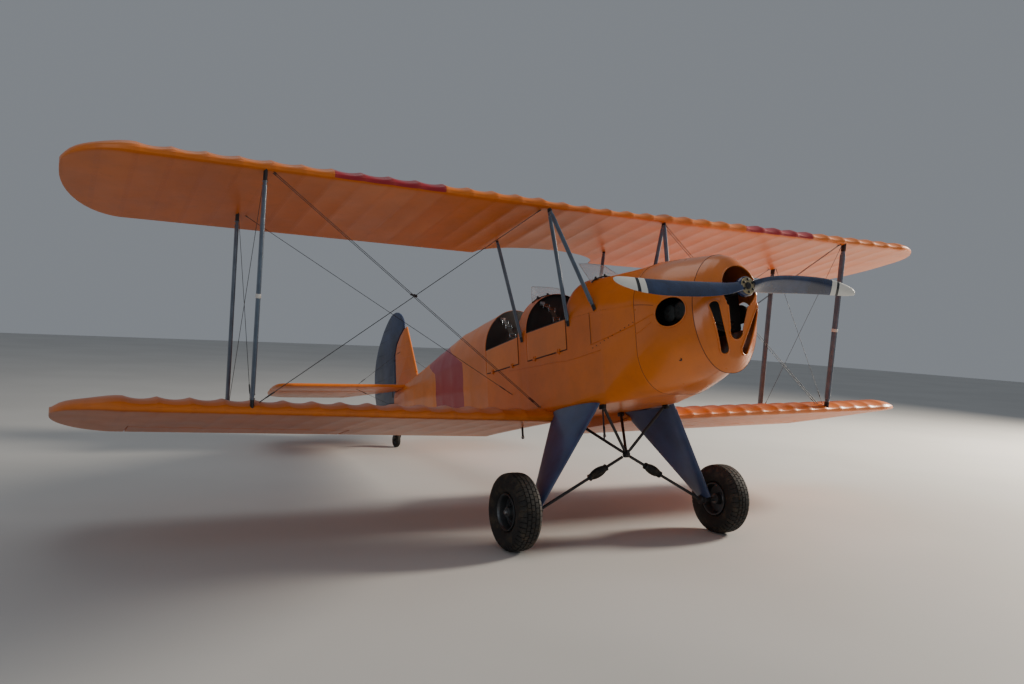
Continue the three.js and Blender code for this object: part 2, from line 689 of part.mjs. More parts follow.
function makeScreens() {
  for (const [name, foot, top] of screens) {
    const ringAt = (z) => {
      const share = (z - foot[0]) / (top[0] - foot[0]);
      const [, midX, sideX, half] = foot.map((value, i) => value + (top[i] - value) * share);
      const left = [[sideX, half], [sideX + (midX - sideX) * 0.65, half * 0.6], [midX, half * 0.18]];
      const right = left.map(([x, y]) => [x, -y]).reverse();
      const front = [...left, ...right].map(([x, y]) => [x, y, z]);
      const back = front.map(([x, y]) => [x - screenThick, y * 0.985, z]).reverse();
      return [...front, ...back];
    };
    const sheet = loft([ringAt(1620), ringAt(top[0])], cutFaces);
    addPart(`windscreen_${name}`, sheet.subtract(trimSolid.translate([0, 0, seatGap])), paint.glass);
  }
}

// Seats: a pan and a back on a box base
const seats = [
  ['front', cockpit.midFrontX + 30],
  ['rear', cockpit.rearX + 40],
];

function makeSeats() {
  const floorZ = 720 + wallThick;
  for (const [name, backX] of seats) {
    const profile = [
      [backX + 60, floorZ],
      [backX + 400, floorZ],
      [backX + 430, 1040],
      [backX + 400, 1065],
      [backX + 105, 1045],
      [backX + 72, 1480],
      [backX, 1480],
      [backX + 20, 1040],
    ];
    const seat = plate('y', profile, -215, 215, 8);
    addPart(`seat_${name}`, seat.subtract(bodyTube.translate([0, 0, seatGap])), paint.seat);
  }
}

// Landing gear
function makeGear() {
  const floor = bodySolid.translate([0, 0, -seatGap]);
  const legs = [];
  for (const [sideName, side] of sides) {
    const legRing = (frontX, rearX, y, z, thick) => {
      return ovalPoints((frontX + rearX) / 2, 0, (frontX - rearX) / 2, thick / 2, 14).map(([x, across]) => {
        return [x, side * (y + across * 0.84), z + across * 0.54];
      });
    };
    const leg = loft([
      legRing(gearLeg.frontX, gearLeg.rearX, gearLeg.topY, gearLeg.topZ + 30, 62),
      legRing(gearLeg.footFrontX, gearLeg.footRearX, gearLeg.footY, 20, 40),
    ]);
    const stub = rod([0, side * axle.innerY, 0], [0, side * axle.outerY, 0], axle.radius, 16);
    const knuckle = rod([0, side * (axle.innerY - 22), 0], [0, side * 812, 0], 34, 16);
    const wing = wings[`lower_${sideName}`];
    const wingCuts = [wing, wing.translate([seatGap, 0, 0]), wing.translate([0, 0, -seatGap])];
    const whole = without(joined([leg, stub, knuckle]), floor, ...wingCuts);
    legs.push(whole);
    addPart(`gear_leg_${sideName}`, whole, paint.navy);
    makeWheel(sideName, side);
  }
  makeBracing(floor, legs);
}

const bracing = {
  apexX: 70, apexZ: 367, apexRadius: 24, radius: 11, topX: [215, -360], topY: 285, topZ: 735,
  shockRadius: 13, bundleRadius: 38, bundleFrom: 0.25, bundleTo: 0.44,
};

function makeBracing(floor, legs) {
  const apex = [bracing.apexX, 0, bracing.apexZ];
  const pyramidOf = (extra) => {
    const across = [-20, 20].map((y) => [bracing.apexX, y, bracing.apexZ]);
    const tops = sides.flatMap(([, side]) => bracing.topX.map((x) => [x, side * bracing.topY, bracing.topZ]));
    const legsUp = tops.map((top) => rod(apex, top, bracing.radius + extra));
    return joined([rod(...across, bracing.apexRadius + extra, 12), ...legsUp]);
  };
  addPart('gear_pyramid', pyramidOf(0).subtract(floor), paint.steel);
  sides.forEach(([sideName, side], i) => {
    const foot = [0, side * (axle.innerY - 20), 6];
    const along = (share) => apex.map((value, axis) => value + (foot[axis] - value) * share);
    const shock = rod(along(0.04), foot, bracing.shockRadius);
    const bundle = rod(along(bracing.bundleFrom), along(bracing.bundleTo), bracing.bundleRadius, 10);
    const seated = legs[i].translate([0, side * -seatGap, 0]);
    addPart(`shock_strut_${sideName}`, without(shock.add(bundle), pyramidOf(seatGap), seated), paint.steel);
  });
}

// Main wheels: the tyre's half section, across the width from the middle, then the radius
const tyreSection = [
  [0, 270], [0.55, 267], [0.8, 255], [0.97, 225], [1, 195], [0.92, 160], [0.72, 134], [0.6, 129],
];

// The rim's section: across the width towards the outer face, then the radius
const rimSection = [
  [-72, wheel.rimRadius + 0.6], [-72, 116], [-12, 108], [-12, 44], [-58, 40], [-58, axle.bore],
  [66, axle.bore], [66, 40], [14, 44], [14, 108], [72, 116], [72, wheel.rimRadius + 0.6],
];

function turned(points, segments) {
  const profile = points.map(([across, radius]) => new THREE.Vector2(radius, across));
  const area = profile.reduce((sum, point, i) => sum + point.cross(profile[(i + 1) % profile.length]), 0);
  const ordered = area < 0 ? profile.reverse() : profile;
  return toSolid(new THREE.LatheGeometry([...ordered, ordered[0]], segments));
}

function makeWheel(sideName, side) {
  const half = wheel.width / 2;
  const outline = tyreSection.map(([share, radius]) => [share * half, radius]);
  const mirrored = outline.slice(1).reverse().map(([across, radius]) => [-across, radius]);
  const tyre = turned([...mirrored, ...outline], 32).translate([0, side * wheel.y, 0]);
  addPart(`tyre_${sideName}`, tyre, paint.tyre);
  const rimOutline = rimSection.map(([across, radius]) => [across * side, radius]);
  const rim = turned(rimOutline, 32).translate([0, side * wheel.y, 0]);
  addPart(`rim_${sideName}`, rim, paint.rim);
}

// Tail wheel, upright on the ground on its spring
function makeTailWheel() {
  const upright = new THREE.Group();
  upright.position.set(tailWheel.x, 0, tailWheel.z);
  upright.rotation.y = parkAngle;
  airframe.add(upright);
  const half = tailWheel.width / 2;
  const radius = tailWheel.radius;
  const pinRadius = 8.5;
  const tread = [
    [-half, 55], [-half + 4, 72], [-14, radius], [14, radius], [half - 4, 72], [half, 55],
    [half, pinRadius + pinGap], [-half, pinRadius + pinGap],
  ];
  addPart('tail_wheel', turned(tread, 24), paint.tyre, upright);
  const pivotX = 45;
  const arms = sides.map(([, side]) => {
    const inner = side * (half + 6);
    const outer = side * (half + 12);
    const outline = [[-16, -16], [16, -16], [pivotX + 22, 102], [pivotX - 22, 112], [-10, 60]];
    return plate('y', outline, Math.min(inner, outer), Math.max(inner, outer));
  });
  const crown = box(pivotX - 24, pivotX + 24, -half - 12, half + 12, 100, 112);
  const pin = rod([pivotX, 0, 108], [pivotX, 0, 130], 14, 12);
  const axlePin = rod([0, -half - 14, 0], [0, half + 14, 0], pinRadius, 12);
  addPart('tail_fork', joined([...arms, crown, pin, axlePin]), paint.steel, upright);
  const springPath = [[pivotX, 141], [pivotX + 110, 178], [pivotX + 230, 250], [pivotX + 370, 344]];
  const thick = 11;
  const over = springPath.map(([x, z]) => [x, z + thick / 2]);
  const under = springPath.map(([x, z]) => [x, z - thick / 2]).reverse();
  const leaf = plate('y', [...over, ...under], -22, 22);
  const cup = rod([pivotX, 0, 130 + seatGap], [pivotX, 0, 146], 22, 12);
  const clamp = box(pivotX + 280, pivotX + 375, -30, 30, 286, 380);
  const mount = joined([leaf, cup, clamp]);
  const tilt = THREE.MathUtils.radToDeg(parkAngle);
  const spring = mount.rotate([0, tilt, 0]).translate([tailWheel.x, 0, tailWheel.z]);
  addPart('tail_spring', spring.subtract(sternSolid.translate([0, 0, -seatGap])), paint.steel);
}

// Tail surfaces: thin fabric-covered frames
function makeTail() {
  const low = tail.planeZ - tail.thick / 2;
  const high = tail.planeZ + tail.thick / 2;
  const tip = tail.halfSpan;
  const half = [
    [tail.leadX, 0], [tail.leadX, tip - 150], [tail.leadX - 40, tip - 40], [tail.leadX - 130, tip],
    [tail.hingeX + 26, tip - 15],
  ];
  const mirrored = half.slice(1).reverse().map(([x, y]) => [x, -y]);
  const hingeRadius = 14;
  const bearings = sides.map(([, side]) => {
    const [inner, outer] = [side * 36 - 5, side * 36 + 5];
    const block = box(tail.hingeX, tail.hingeX + 40, inner, outer, tail.planeZ - 14, tail.planeZ + 14);
    return block.add(rod([tail.hingeX, inner, tail.planeZ], [tail.hingeX, outer, tail.planeZ], 20, 16));
  });
  const bore = rod([tail.hingeX, -60, tail.planeZ], [tail.hingeX, 60, tail.planeZ], hingeRadius + pinGap, 16);
  const frame = plate('z', [...half, ...mirrored], low, high, 8);
  addPart('stabiliser', joined([frame, ...bearings]).subtract(bore), paint.orange);

  const panels = sides.map(([, side]) => {
    const outline = [
      [tail.hingeX, side * 60], [tail.hingeX, side * (tip - 14)], [tail.hingeX - 330, side * (tip - 58)],
      [tail.hingeX - 560, side * (tip - 150)], [tail.hingeX - 690, side * (tip - 330)],
      [tail.hingeX - 690, side * 470], [tail.hingeX - 70, side * 92],
    ];
    return plate('z', outline, low + 4, high - 4, 6);
  });
  const tubeEnds = [-1, 1].map((side) => [tail.hingeX, side * (tip - 20), tail.planeZ]);
  const torqueTube = rod(...tubeEnds, hingeRadius, 12);
  addPart('elevator', joined([...panels, torqueTube]), paint.orange);

  const finThick = 30;
  const hinge = tail.rudderHingeX;
  const finOutline = [
    [-3860, 1460], [-3950, 1540], [-4212, 2125], [-4262, 2112], [-4400, 2050], [-4520, 1960],
    [hinge + 36, 1850], [hinge + 36, high + seatGap], [-3900, high + seatGap],
  ];
  const fin = plate('y', finOutline, -finThick / 2, finThick / 2, 5);
  const deckBlock = box(tail.leadX + 12, -3000, -wide, wide, 900, 1700);
  const deckCut = sternSolid.translate([0, 0, seatGap]).intersect(deckBlock);
  const finLugs = hingeLugs([[hinge, 0, 1500], [hinge, 0, 1770]], 'z');
  addPart('fin', without(fin, deckCut).add(finLugs.lugs), paint.orange);

  const rudderOutline = [
    [hinge, 1130], [hinge, 1830], [hinge + 30, 1862], [hinge + 92, 1975], [hinge + 212, 2062],
    [hinge + 352, 2124], [hinge + 318, 2232], [hinge + 225, 2325], [hinge + 90, 2372],
    [hinge - 60, 2362], [hinge - 250, 2272], [hinge - 430, 2140], [hinge - 600, 1970],
    [hinge - 700, 1790], [hinge - 742, 1600], [hinge - 735, 1400], [hinge - 660, 1230],
    [hinge - 480, 1120], [hinge - 200, 1082],
  ];
  const rudder = plate('y', rudderOutline, -finThick / 2, finThick / 2, 5);
  const post = rod([hinge, 0, 1132], [hinge, 0, 1838], 15, 12);
  const sternLug = hingeLugs([[hinge, 0, tail.sternLugZ]], 'z');
  const notched = joined([rudder, post]).subtract(finLugs.notches).subtract(sternLug.notches);
  addPart('rudder', joined([notched, finLugs.pins, sternLug.pins]), paint.navy);
}

makeFuselage();
makeCowling();
makeEngine();
makePropeller();
makeWings();
makeStruts();
makeStays();
makeScreens();
makeSeats();
makeGear();
makeTailWheel();
makeTail();

// The parked attitude: nose up on the tail wheel, wheels on the ground
airframe.rotation.y = -parkAngle;
airframe.position.z = wheel.radius;
const biplane = new THREE.Group();
biplane.add(airframe);
biplane.updateMatrixWorld(true);
const extent = new THREE.Box3().setFromObject(biplane, true);
airframe.position.x = -(extent.min.x + extent.max.x) / 2;

export default biplane;
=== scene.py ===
import math

import bpy
from mathutils import Matrix, Vector


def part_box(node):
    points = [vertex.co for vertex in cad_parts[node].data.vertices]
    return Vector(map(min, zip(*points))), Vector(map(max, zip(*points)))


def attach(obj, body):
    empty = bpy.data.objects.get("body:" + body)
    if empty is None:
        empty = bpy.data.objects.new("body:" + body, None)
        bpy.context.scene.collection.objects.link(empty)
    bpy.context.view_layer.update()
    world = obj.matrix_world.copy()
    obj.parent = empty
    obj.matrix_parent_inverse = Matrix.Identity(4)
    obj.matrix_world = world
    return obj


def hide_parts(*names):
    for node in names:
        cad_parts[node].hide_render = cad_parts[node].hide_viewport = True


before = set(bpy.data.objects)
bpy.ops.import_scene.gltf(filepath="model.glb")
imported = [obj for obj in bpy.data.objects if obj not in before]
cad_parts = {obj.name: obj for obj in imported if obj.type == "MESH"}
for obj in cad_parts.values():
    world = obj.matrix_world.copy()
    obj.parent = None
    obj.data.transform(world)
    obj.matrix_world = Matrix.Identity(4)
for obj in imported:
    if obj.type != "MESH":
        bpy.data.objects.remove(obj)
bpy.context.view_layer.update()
print("frame loaded")

parkAngle = math.radians(12)
tyreLow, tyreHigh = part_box("tyre_left")
axleX = (tyreLow.x + tyreHigh.x) / 2
axleZ = (tyreLow.z + tyreHigh.z) / 2
leanBack = Matrix.Translation((axleX, 0, axleZ)) @ Matrix.Rotation(-parkAngle, 4, "Y")
sides = (("right", -1), ("left", 1))


# shader nodes
class Link:  # a shader socket that can be used in sums
    def __init__(self, finish, socket):
        self.finish = finish
        self.socket = socket

    def maths(self, operation, *values):
        return self.finish.node("ShaderNodeMath", {"operation": operation}, dict(enumerate(values)))

    def __add__(self, other):
        return self.maths("ADD", self, other)

    def __sub__(self, other):
        return self.maths("SUBTRACT", self, other)

    def __rsub__(self, other):
        return self.maths("SUBTRACT", other, self)

    def __mul__(self, other):
        return self.maths("MULTIPLY", self, other)

    def __truediv__(self, other):
        return self.maths("DIVIDE", self, other)

    def __mod__(self, other):
        return self.maths("FLOORED_MODULO", self, other)

    def __abs__(self):
        return self.maths("ABSOLUTE", self)

    def __lt__(self, other):
        return self.maths("LESS_THAN", self, other)

    def __gt__(self, other):
        return self.maths("GREATER_THAN", self, other)

    __radd__ = __add__
    __rmul__ = __mul__


class Finish:  # one material and its node tree
    def __init__(self, name, **fixed):
        self.material = bpy.data.materials.new(name)
        self.material.use_nodes = True
        self.tree = self.material.node_tree
        self.tree.nodes.clear()
        self.shader = self.tree.nodes.new("ShaderNodeBsdfPrincipled")
        output = self.tree.nodes.new("ShaderNodeOutputMaterial")
        self.tree.links.new(self.shader.outputs[0], output.inputs["Surface"])
        for socket, value in fixed.items():
            self.shader.inputs[socket.replace("_", " ")].default_value = value

    def node(self, kind, settings, values, output=0):
        made = self.tree.nodes.new(kind)
        for key, value in settings.items():
            if key == "stops":
                ramp = made.color_ramp.elements
                while len(ramp) < len(value):
                    ramp.new(0.5)
                for stop, (place, colour) in zip(ramp, value):
                    stop.position = place
                    stop.color = colour
            else:
                setattr(made, key, value)
        for key, value in values.items():
            if isinstance(value, Link):
                self.tree.links.new(value.socket, made.inputs[key])
            else:
                made.inputs[key].default_value = value
        return Link(self, made.outputs[output])

    def feed(self, **values):
        for socket, value in values.items():
            self.tree.links.new(value.socket, self.shader.inputs[socket.replace("_", " ")])

    def point(self):
        return self.node("ShaderNodeTexCoord", {}, {}, "Object")

    def airframePoint(self):  # the same point in the airframe's own axes
        shift = Matrix.Rotation(parkAngle, 3, "Y") @ Vector((-axleX, 0, -axleZ))
        turned = {"Vector": self.point(), "Location": shift, "Rotation": (0, parkAngle, 0)}
        return self.node("ShaderNodeMapping", {}, turned)

    def split(self, vector):
        return [self.node("ShaderNodeSeparateXYZ", {}, {0: vector}, axis) for axis in range(3)]

    def noise(self, vector, scale, detail=3, roughness=0.5):
        values = {"Vector": vector, "Scale": scale, "Detail": detail, "Roughness": roughness}
        return self.node("ShaderNodeTexNoise", {}, values)

    def mix(self, factor, first, second, blend="MIX"):
        settings = {"data_type": "RGBA", "blend_type": blend, "clamp_factor": True}
        return self.node("ShaderNodeMix", settings, {0: factor, 6: first, 7: second}, 2)

    def soft(self, value, low, high):  # 0 below low, 1 above high, smooth between
        settings = {"interpolation_type": "SMOOTHSTEP", "clamp": True}
        return self.node("ShaderNodeMapRange", settings, {"Value": value, "From Min": low, "From Max": high})

    def bump(self, height, distance, strength=1.0):
        return self.node("ShaderNodeBump", {}, {"Height": height, "Distance": distance, "Strength": strength})


def rgb(red, green, blue):  # screen colour, 0 to 255, to the renderer's own
    return tuple((v / 255) ** 2.2 for v in (red, green, blue)) + (1,)


paint = {
    "orange": rgb(222, 116, 22),
    "orangeFaded": rgb(206, 108, 30),
    "orangeDeep": rgb(176, 78, 20),
    "red": rgb(158, 22, 40),
    "navy": rgb(28, 40, 70),
    "gearBlue": rgb(50, 62, 92),
    "strutBlue": rgb(78, 92, 108),
    "white": rgb(226, 224, 216),
}
wingLook = {
    "halfSpan": 3.8, "lastRib": 3.4, "ribPitch": 0.2, "chord": 1.25, "tipPeak": 0.34,
    "drop": math.tan(math.radians(1)),
    "sag": 0.019, "bandFrom": 1.4, "bandTo": 2.2,
}


def wornPaint(finish, point, base, faded, scale=3.0):
    patches = finish.soft(finish.noise(point, scale, 4, 0.6), 0.35, 0.7)
    grime = finish.soft(finish.noise(point, scale * 9, 5, 0.65), 0.5, 0.85)
    toned = finish.mix(patches, base, faded)
    return finish.mix(grime * 0.25, toned, tuple(c * 0.6 for c in faded[:3]) + (1,))


def weave(finish, point):  # fine cloth threads under the dope
    return finish.noise(point, 900, 2, 0.5) * 0.4 + finish.noise(point, 260, 2, 0.5) * 0.6


def makeWingFinish(name, underZ, rise, noseX, banded):
    finish = Finish(name, Roughness=0.42, Coat_Weight=0.25, Coat_Roughness=0.25)
    point = finish.airframePoint()
    x, y, z = finish.split(point)
    span = abs(y)
    nearRib = abs((span / wingLook["ribPitch"] + 0.5) % 1.0 - 0.5) * wingLook["ribPitch"]
    tape = 1 - finish.soft(nearRib, 0.017, 0.019)
    stitch = (1 - finish.soft(nearRib, 0.003, 0.006)) * (1 - finish.soft(abs(x / 0.055 % 1.0 - 0.5), 0.12, 0.2))
    colour = wornPaint(finish, point, paint["orange"], paint["orangeFaded"], 2.2)
    if banded:
        above = z - (underZ + rise * span - (noseX - x) * wingLook["drop"]) > 0.009
        inBand = (span > wingLook["bandFrom"]) * (span < wingLook["bandTo"]) * above
        colour = finish.mix(inBand, colour, paint["red"])
    colour = finish.mix(tape * 0.10, colour, paint["orangeDeep"])
    finish.feed(
        Base_Color=colour,
        Roughness=finish.noise(point, 5) * 0.2 + 0.34,
        Normal=finish.bump(tape * 0.5 + stitch * 0.5 + weave(finish, point) * 0.12, 0.0012, 0.7))
    return finish.material


def makePaintFinish(name, base, faded, roughness=0.38, coat=0.4, cloth=0.0, scale=3.0):
    finish = Finish(name, Roughness=roughness, Coat_Weight=coat, Coat_Roughness=0.18)
    point = finish.airframePoint()
    height = finish.noise(point, 40, 3) * 0.5
    if cloth:
        height = height + weave(finish, point) * cloth
    finish.feed(
        Base_Color=wornPaint(finish, point, base, faded, scale),
        Roughness=finish.noise(point, 7) * 0.18 + (roughness - 0.09),
        Normal=finish.bump(height, 0.0006, 0.5))
    return finish.material


def makeBodyFinish(name, band=None, frames=()):
    # orange cloth over stringers and frames; a band stands upright on the sides and sweeps back over the deck
    finish = Finish(name, Roughness=0.4, Coat_Weight=0.3, Coat_Roughness=0.22)
    point = finish.airframePoint()
    x, y, z = finish.split(point)
    colour = wornPaint(finish, point, paint["orange"], paint["orangeFaded"], 2.6)
    height = weave(finish, point) * 0.12
    if band:
        rearX, frontX, sweep = band
        swept = x + (z - 1.37).maths("MAXIMUM", z - 1.37, 0.0) * sweep
        colour = finish.mix((swept > rearX) * (swept < frontX), colour, paint["red"])
    for frameX in frames:
        height = height + (1 - finish.soft(abs(x - frameX), 0.022, 0.025)) * 0.5
    finish.feed(
        Base_Color=colour,
        Roughness=finish.noise(point, 5) * 0.2 + 0.3,
        Normal=finish.bump(height, 0.0010, 0.6))
    return finish.material


def makeMetalFinish(name, colour, roughness=0.35, metallic=0.9, wear=0.3):
    finish = Finish(name)
    point = finish.point()
    worn = finish.soft(finish.noise(point, 18, 5, 0.7), 0.5, 0.75)
    finish.feed(
        Base_Color=finish.mix(worn * wear, colour, tuple(c * 0.45 for c in colour[:3]) + (1,)),
        Roughness=worn * 0.25 + roughness,
        Metallic=1 - worn * (1 - metallic) - (1 - metallic),
        Normal=finish.bump(finish.noise(point, 160, 3), 0.0004, 0.4))
    return finish.material


def makeRubberFinish(name, dusty=0.35):
    finish = Finish(name, Roughness=0.85)
    point = finish.point()
    dust = finish.soft(finish.noise(point, 14, 5, 0.7), 0.45, 0.75)
    finish.feed(
        Base_Color=finish.mix(dust * dusty, rgb(30, 29, 28), rgb(112, 98, 78)),
        Roughness=dust * 0.12 + 0.74,
        Normal=finish.bump(finish.noise(point, 320, 3), 0.0006, 0.5))
    return finish.material


def makePropFinish(name):
    # navy blades with a white ring, a dark ring and a white tip
    look = {"inner": 0.772, "white": 0.818, "dark": 0.842}
    finish = Finish(name, Roughness=0.22, Coat_Weight=0.7, Coat_Roughness=0.08)
    point = finish.airframePoint()
    x, y, z = finish.split(point)
    reach = abs(y)
    colour = wornPaint(finish, point, paint["navy"], rgb(44, 62, 100), 6)
    colour = finish.mix(reach > look["inner"], colour, paint["white"])
    colour = finish.mix((reach > look["white"]) * (reach < look["dark"]), colour, rgb(24, 26, 32))
    finish.feed(
        Base_Color=colour,
        Roughness=finish.noise(point, 9) * 0.12 + 0.18,
        Normal=finish.bump(finish.noise(point, 60, 2), 0.0003, 0.3))
    return finish.material


def makeGlassFinish(name):
    finish = Finish(name, Roughness=0.06, Transmission_Weight=0.0, IOR=1.45)
    point = finish.point()
    scratches = finish.soft(finish.noise(point, 60, 5, 0.8), 0.5, 0.8)
    finish.feed(
        Base_Color=finish.mix(scratches * 0.4, rgb(214, 224, 226), rgb(240, 240, 236)),
        Alpha=scratches * 0.22 + 0.24,
        Roughness=scratches * 0.3 + 0.05)
    return finish.material


def makeLeatherFinish(name, colour, grain=220):
    finish = Finish(name, Roughness=0.6, Sheen_Weight=0.1)
    point = finish.point()
    cells = finish.node("ShaderNodeTexVoronoi", {}, {"Vector": point, "Scale": grain}, "Distance")
    folds = finish.noise(point, 30, 4, 0.6)
    finish.feed(
        Base_Color=finish.mix(folds, colour, tuple(c * 1.8 for c in colour[:3]) + (1,)),
        Roughness=folds * 0.25 + 0.45,
        Normal=finish.bump(cells * 0.6 + folds * 0.6, 0.0012, 0.6))
    return finish.material


finishes = {
    "upperWing": makeWingFinish("upperWingCloth", 2.209, 0.006, 0.10, True),
    "lowerWing": makeWingFinish("lowerWingCloth", 0.638, 0.028, -0.32, False),
    "body": makeBodyFinish("bodyCloth", frames=(-0.80, 0.36)),
    "sternBody": makeBodyFinish("sternCloth", band=(-2.90, -2.09, 2.3), frames=(-1.9, -2.4, -2.9, -3.4, -3.9)),
    "cowl": makePaintFinish("cowlPaint", paint["orange"], paint["orangeFaded"], 0.3, 0.6),
    "tail": makePaintFinish("tailCloth", paint["orange"], paint["orangeFaded"], 0.42, 0.25, 0.2),
    "rudder": makePaintFinish("rudderCloth", paint["navy"], rgb(46, 62, 100), 0.42, 0.25, 0.2),
    "gear": makePaintFinish("gearPaint", paint["gearBlue"], rgb(62, 78, 116), 0.4, 0.35),
    "strut": makePaintFinish("strutPaint", paint["strutBlue"], rgb(96, 112, 128), 0.4, 0.3, 0, 8),
    "prop": makePropFinish("propPaint"),
    "brass": makeMetalFinish("hubMetal", rgb(186, 168, 132), 0.3, 0.9),
    "steel": makeMetalFinish("plainSteel", rgb(150, 152, 154), 0.3, 0.95),
    "darkSteel": makeMetalFinish("darkSteel", rgb(46, 46, 48), 0.45, 0.3, 0.4),
    "engine": makeMetalFinish("engineMetal", rgb(52, 56, 56), 0.5, 0.6, 0.5),
    "wire": makeMetalFinish("wireSteel", rgb(58, 60, 62), 0.55, 0.25, 0.4),
    "rim": makeMetalFinish("rimMetal", rgb(84, 86, 88), 0.4, 0.8, 0.5),
    "tyre": makeRubberFinish("tyreRubber"),
    "bungee": makeRubberFinish("bungeeCord", 0.6),
    "glass": makeGlassFinish("clearSheet"),
    "glassEdge": makePaintFinish("sheetEdge", rgb(190, 198, 200), rgb(170, 178, 180), 0.2, 0.6),
    "chrome": makeMetalFinish("brightMetal", rgb(196, 198, 200), 0.15, 1.0, 0.2),
    "seat": makeLeatherFinish("seatLeather", rgb(44, 38, 34)),
    "coaming": makeLeatherFinish("coamingLeather", rgb(34, 28, 26)),
    # painted shade: a dark sheet on the inner faces of the decks, shell and doors stands in for the shade inside the
    # cockpits
    "shadeLining": makePaintFinish("paintedShadeLining", rgb(38, 34, 36), rgb(52, 46, 44), 0.7, 0.0, 0.3),
    "webbing": makeLeatherFinish("harnessWebbing", rgb(60, 58, 54), 600),
    "panel": makePaintFinish("panelPaint", rgb(34, 34, 36), rgb(44, 44, 46), 0.5, 0.1),
    "dial": makePaintFinish("dialFace", rgb(16, 16, 18), rgb(22, 22, 24), 0.3, 0.5),
    "white": makePaintFinish("whitePaint", paint["white"], rgb(210, 206, 196), 0.4, 0.3),
    "gapLine": makePaintFinish("gapLine", rgb(96, 46, 16), rgb(74, 36, 14), 0.6, 0.1),
    "door": makePaintFinish("doorPaint", rgb(226, 124, 34), rgb(212, 118, 40), 0.36, 0.4),
}
print("finishes made")


# modelling helpers
def startModelling():
    if bpy.context.object and bpy.context.object.mode == "EDIT":
        bpy.ops.object.mode_set(mode="OBJECT")
    bpy.ops.object.select_all(action="DESELECT")


def choose(piece):
    startModelling()
    piece.select_set(True)
    bpy.context.view_layer.objects.active = piece


def edit(piece, everything=False):
    choose(piece)
    bpy.ops.object.mode_set(mode="EDIT")
    if everything:
        bpy.ops.mesh.select_all(action="SELECT")


def pick(piece, kind, test):  # selects the faces, edges or points whose middle passes the test
    edit(piece)
    bpy.ops.mesh.select_mode(type={"faces": "FACE", "edges": "EDGE", "points": "VERT"}[kind])
    bpy.ops.mesh.select_all(action="DESELECT")
    bpy.ops.object.mode_set(mode="OBJECT")
    mesh = piece.data
    for item in {"faces": mesh.polygons, "edges": mesh.edges, "points": mesh.vertices}[kind]:
        if kind == "faces":
            item.select = test(item.center, item.normal)
        elif kind == "edges":
            item.select = test(*(mesh.vertices[i].co for i in item.vertices))
        else:
            item.select = test(item.co)
    bpy.ops.object.mode_set(mode="EDIT")


def leaveEdit():
    bpy.ops.object.mode_set(mode="OBJECT")


def modify(piece, kind, **settings):  # adds a modifier and applies it at once
    choose(piece)
    modifier = piece.modifiers.new(kind.title(), kind)
    for key, value in settings.items():
        setattr(modifier, key, value)
    bpy.ops.object.modifier_apply(modifier=modifier.name)
    return piece


def soften(piece, width, angle):  # rounds the edges that turn by more than the angle
    modify(piece, "BEVEL", width=width, segments=2, limit_method="ANGLE", angle_limit=math.radians(angle))


def tidyMesh(piece, recalculate=True):
    edit(piece, True)
    bpy.ops.mesh.remove_doubles(threshold=1e-5)
    if recalculate:
        bpy.ops.mesh.normals_make_consistent(inside=False)
    leaveEdit()


def applyPlace(piece):
    choose(piece)
    bpy.ops.object.transform_apply(location=True, rotation=True, scale=True)


def joinPieces(name, pieces):
    startModelling()
    for piece in pieces:
        piece.select_set(True)
    bpy.context.view_layer.objects.active = pieces[0]
    if len(pieces) > 1:
        bpy.ops.object.join()
    whole = bpy.context.object
    whole.name = name
    return whole


def paintPiece(piece, finish):
    piece.data.materials.clear()
    if finish:
        piece.data.materials.append(finishes[finish])
    return piece


def finishPiece(piece, node=None, body="airframe", angle=40):  # node is the CAD node that it stands for
    applyPlace(piece)
    piece.data.transform(leanBack)
    piece.select_set(True)
    bpy.ops.object.shade_smooth_by_angle(angle=math.radians(angle))
    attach(piece, body)
    if node:
        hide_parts(node)
    return piece


def finishParts(name, parts, node=None, body="airframe", angle=40):
    return finishPiece(joinPieces(name, parts), node, body, angle)


def surface(name, columns, rows, placeAt):  # a grid whose points are laid on a shape
    startModelling()
    bpy.ops.mesh.primitive_grid_add(x_subdivisions=columns, y_subdivisions=rows, size=1, location=(0, 0, 0))
    piece = bpy.context.object
    piece.name = name
    for point in piece.data.vertices:
        point.co = placeAt(round((point.co.x + 0.5) * columns), round((point.co.y + 0.5) * rows))
    return piece


def closeEnds(piece, *stations):  # fills the open rings that lie at these places
    for test in stations:
        pick(piece, "edges", lambda a, b: test(a) and test(b))
        bpy.ops.mesh.edge_face_add()
    leaveEdit()


def rod(finish, start, end, profile, corners=16, squash=1.0):
    # a round bar along a line; the profile lists distances from the start and radii, and squash thins it sideways
    start, end = Vector(start), Vector(end)
    startModelling()
    bpy.ops.mesh.primitive_circle_add(
        vertices=corners, radius=profile[0][1], fill_type="NGON", location=(0, 0, profile[0][0]))
    piece = bpy.context.object
    bpy.ops.object.transform_apply(location=True, rotation=True, scale=True)
    edit(piece)
    bpy.ops.mesh.select_mode(type="FACE")
    bpy.ops.mesh.select_all(action="SELECT")
    for (near, nearRadius), (far, farRadius) in zip(profile, profile[1:]):
        bpy.ops.mesh.extrude_region_move(TRANSFORM_OT_translate={"value": (0, 0, far - near)})
        size = farRadius / nearRadius
        bpy.ops.transform.resize(value=(size, size, 1), center_override=(0, 0, far))
    bpy.ops.mesh.select_all(action="SELECT")
    bpy.ops.mesh.normals_make_consistent(inside=False)
    leaveEdit()
    along = (end - start).normalized()
    across = Vector((1, 0, 0)) if abs(along.x) < 0.9 else Vector((0, 0, 1))
    fore = (across - along * across.dot(along)).normalized()
    frameOf = Matrix((fore, along.cross(fore), along)).transposed().to_4x4()
    piece.data.transform(Matrix.Translation(start) @ frameOf @ Matrix.Diagonal((1, squash, 1, 1)))
    return paintPiece(piece, finish)


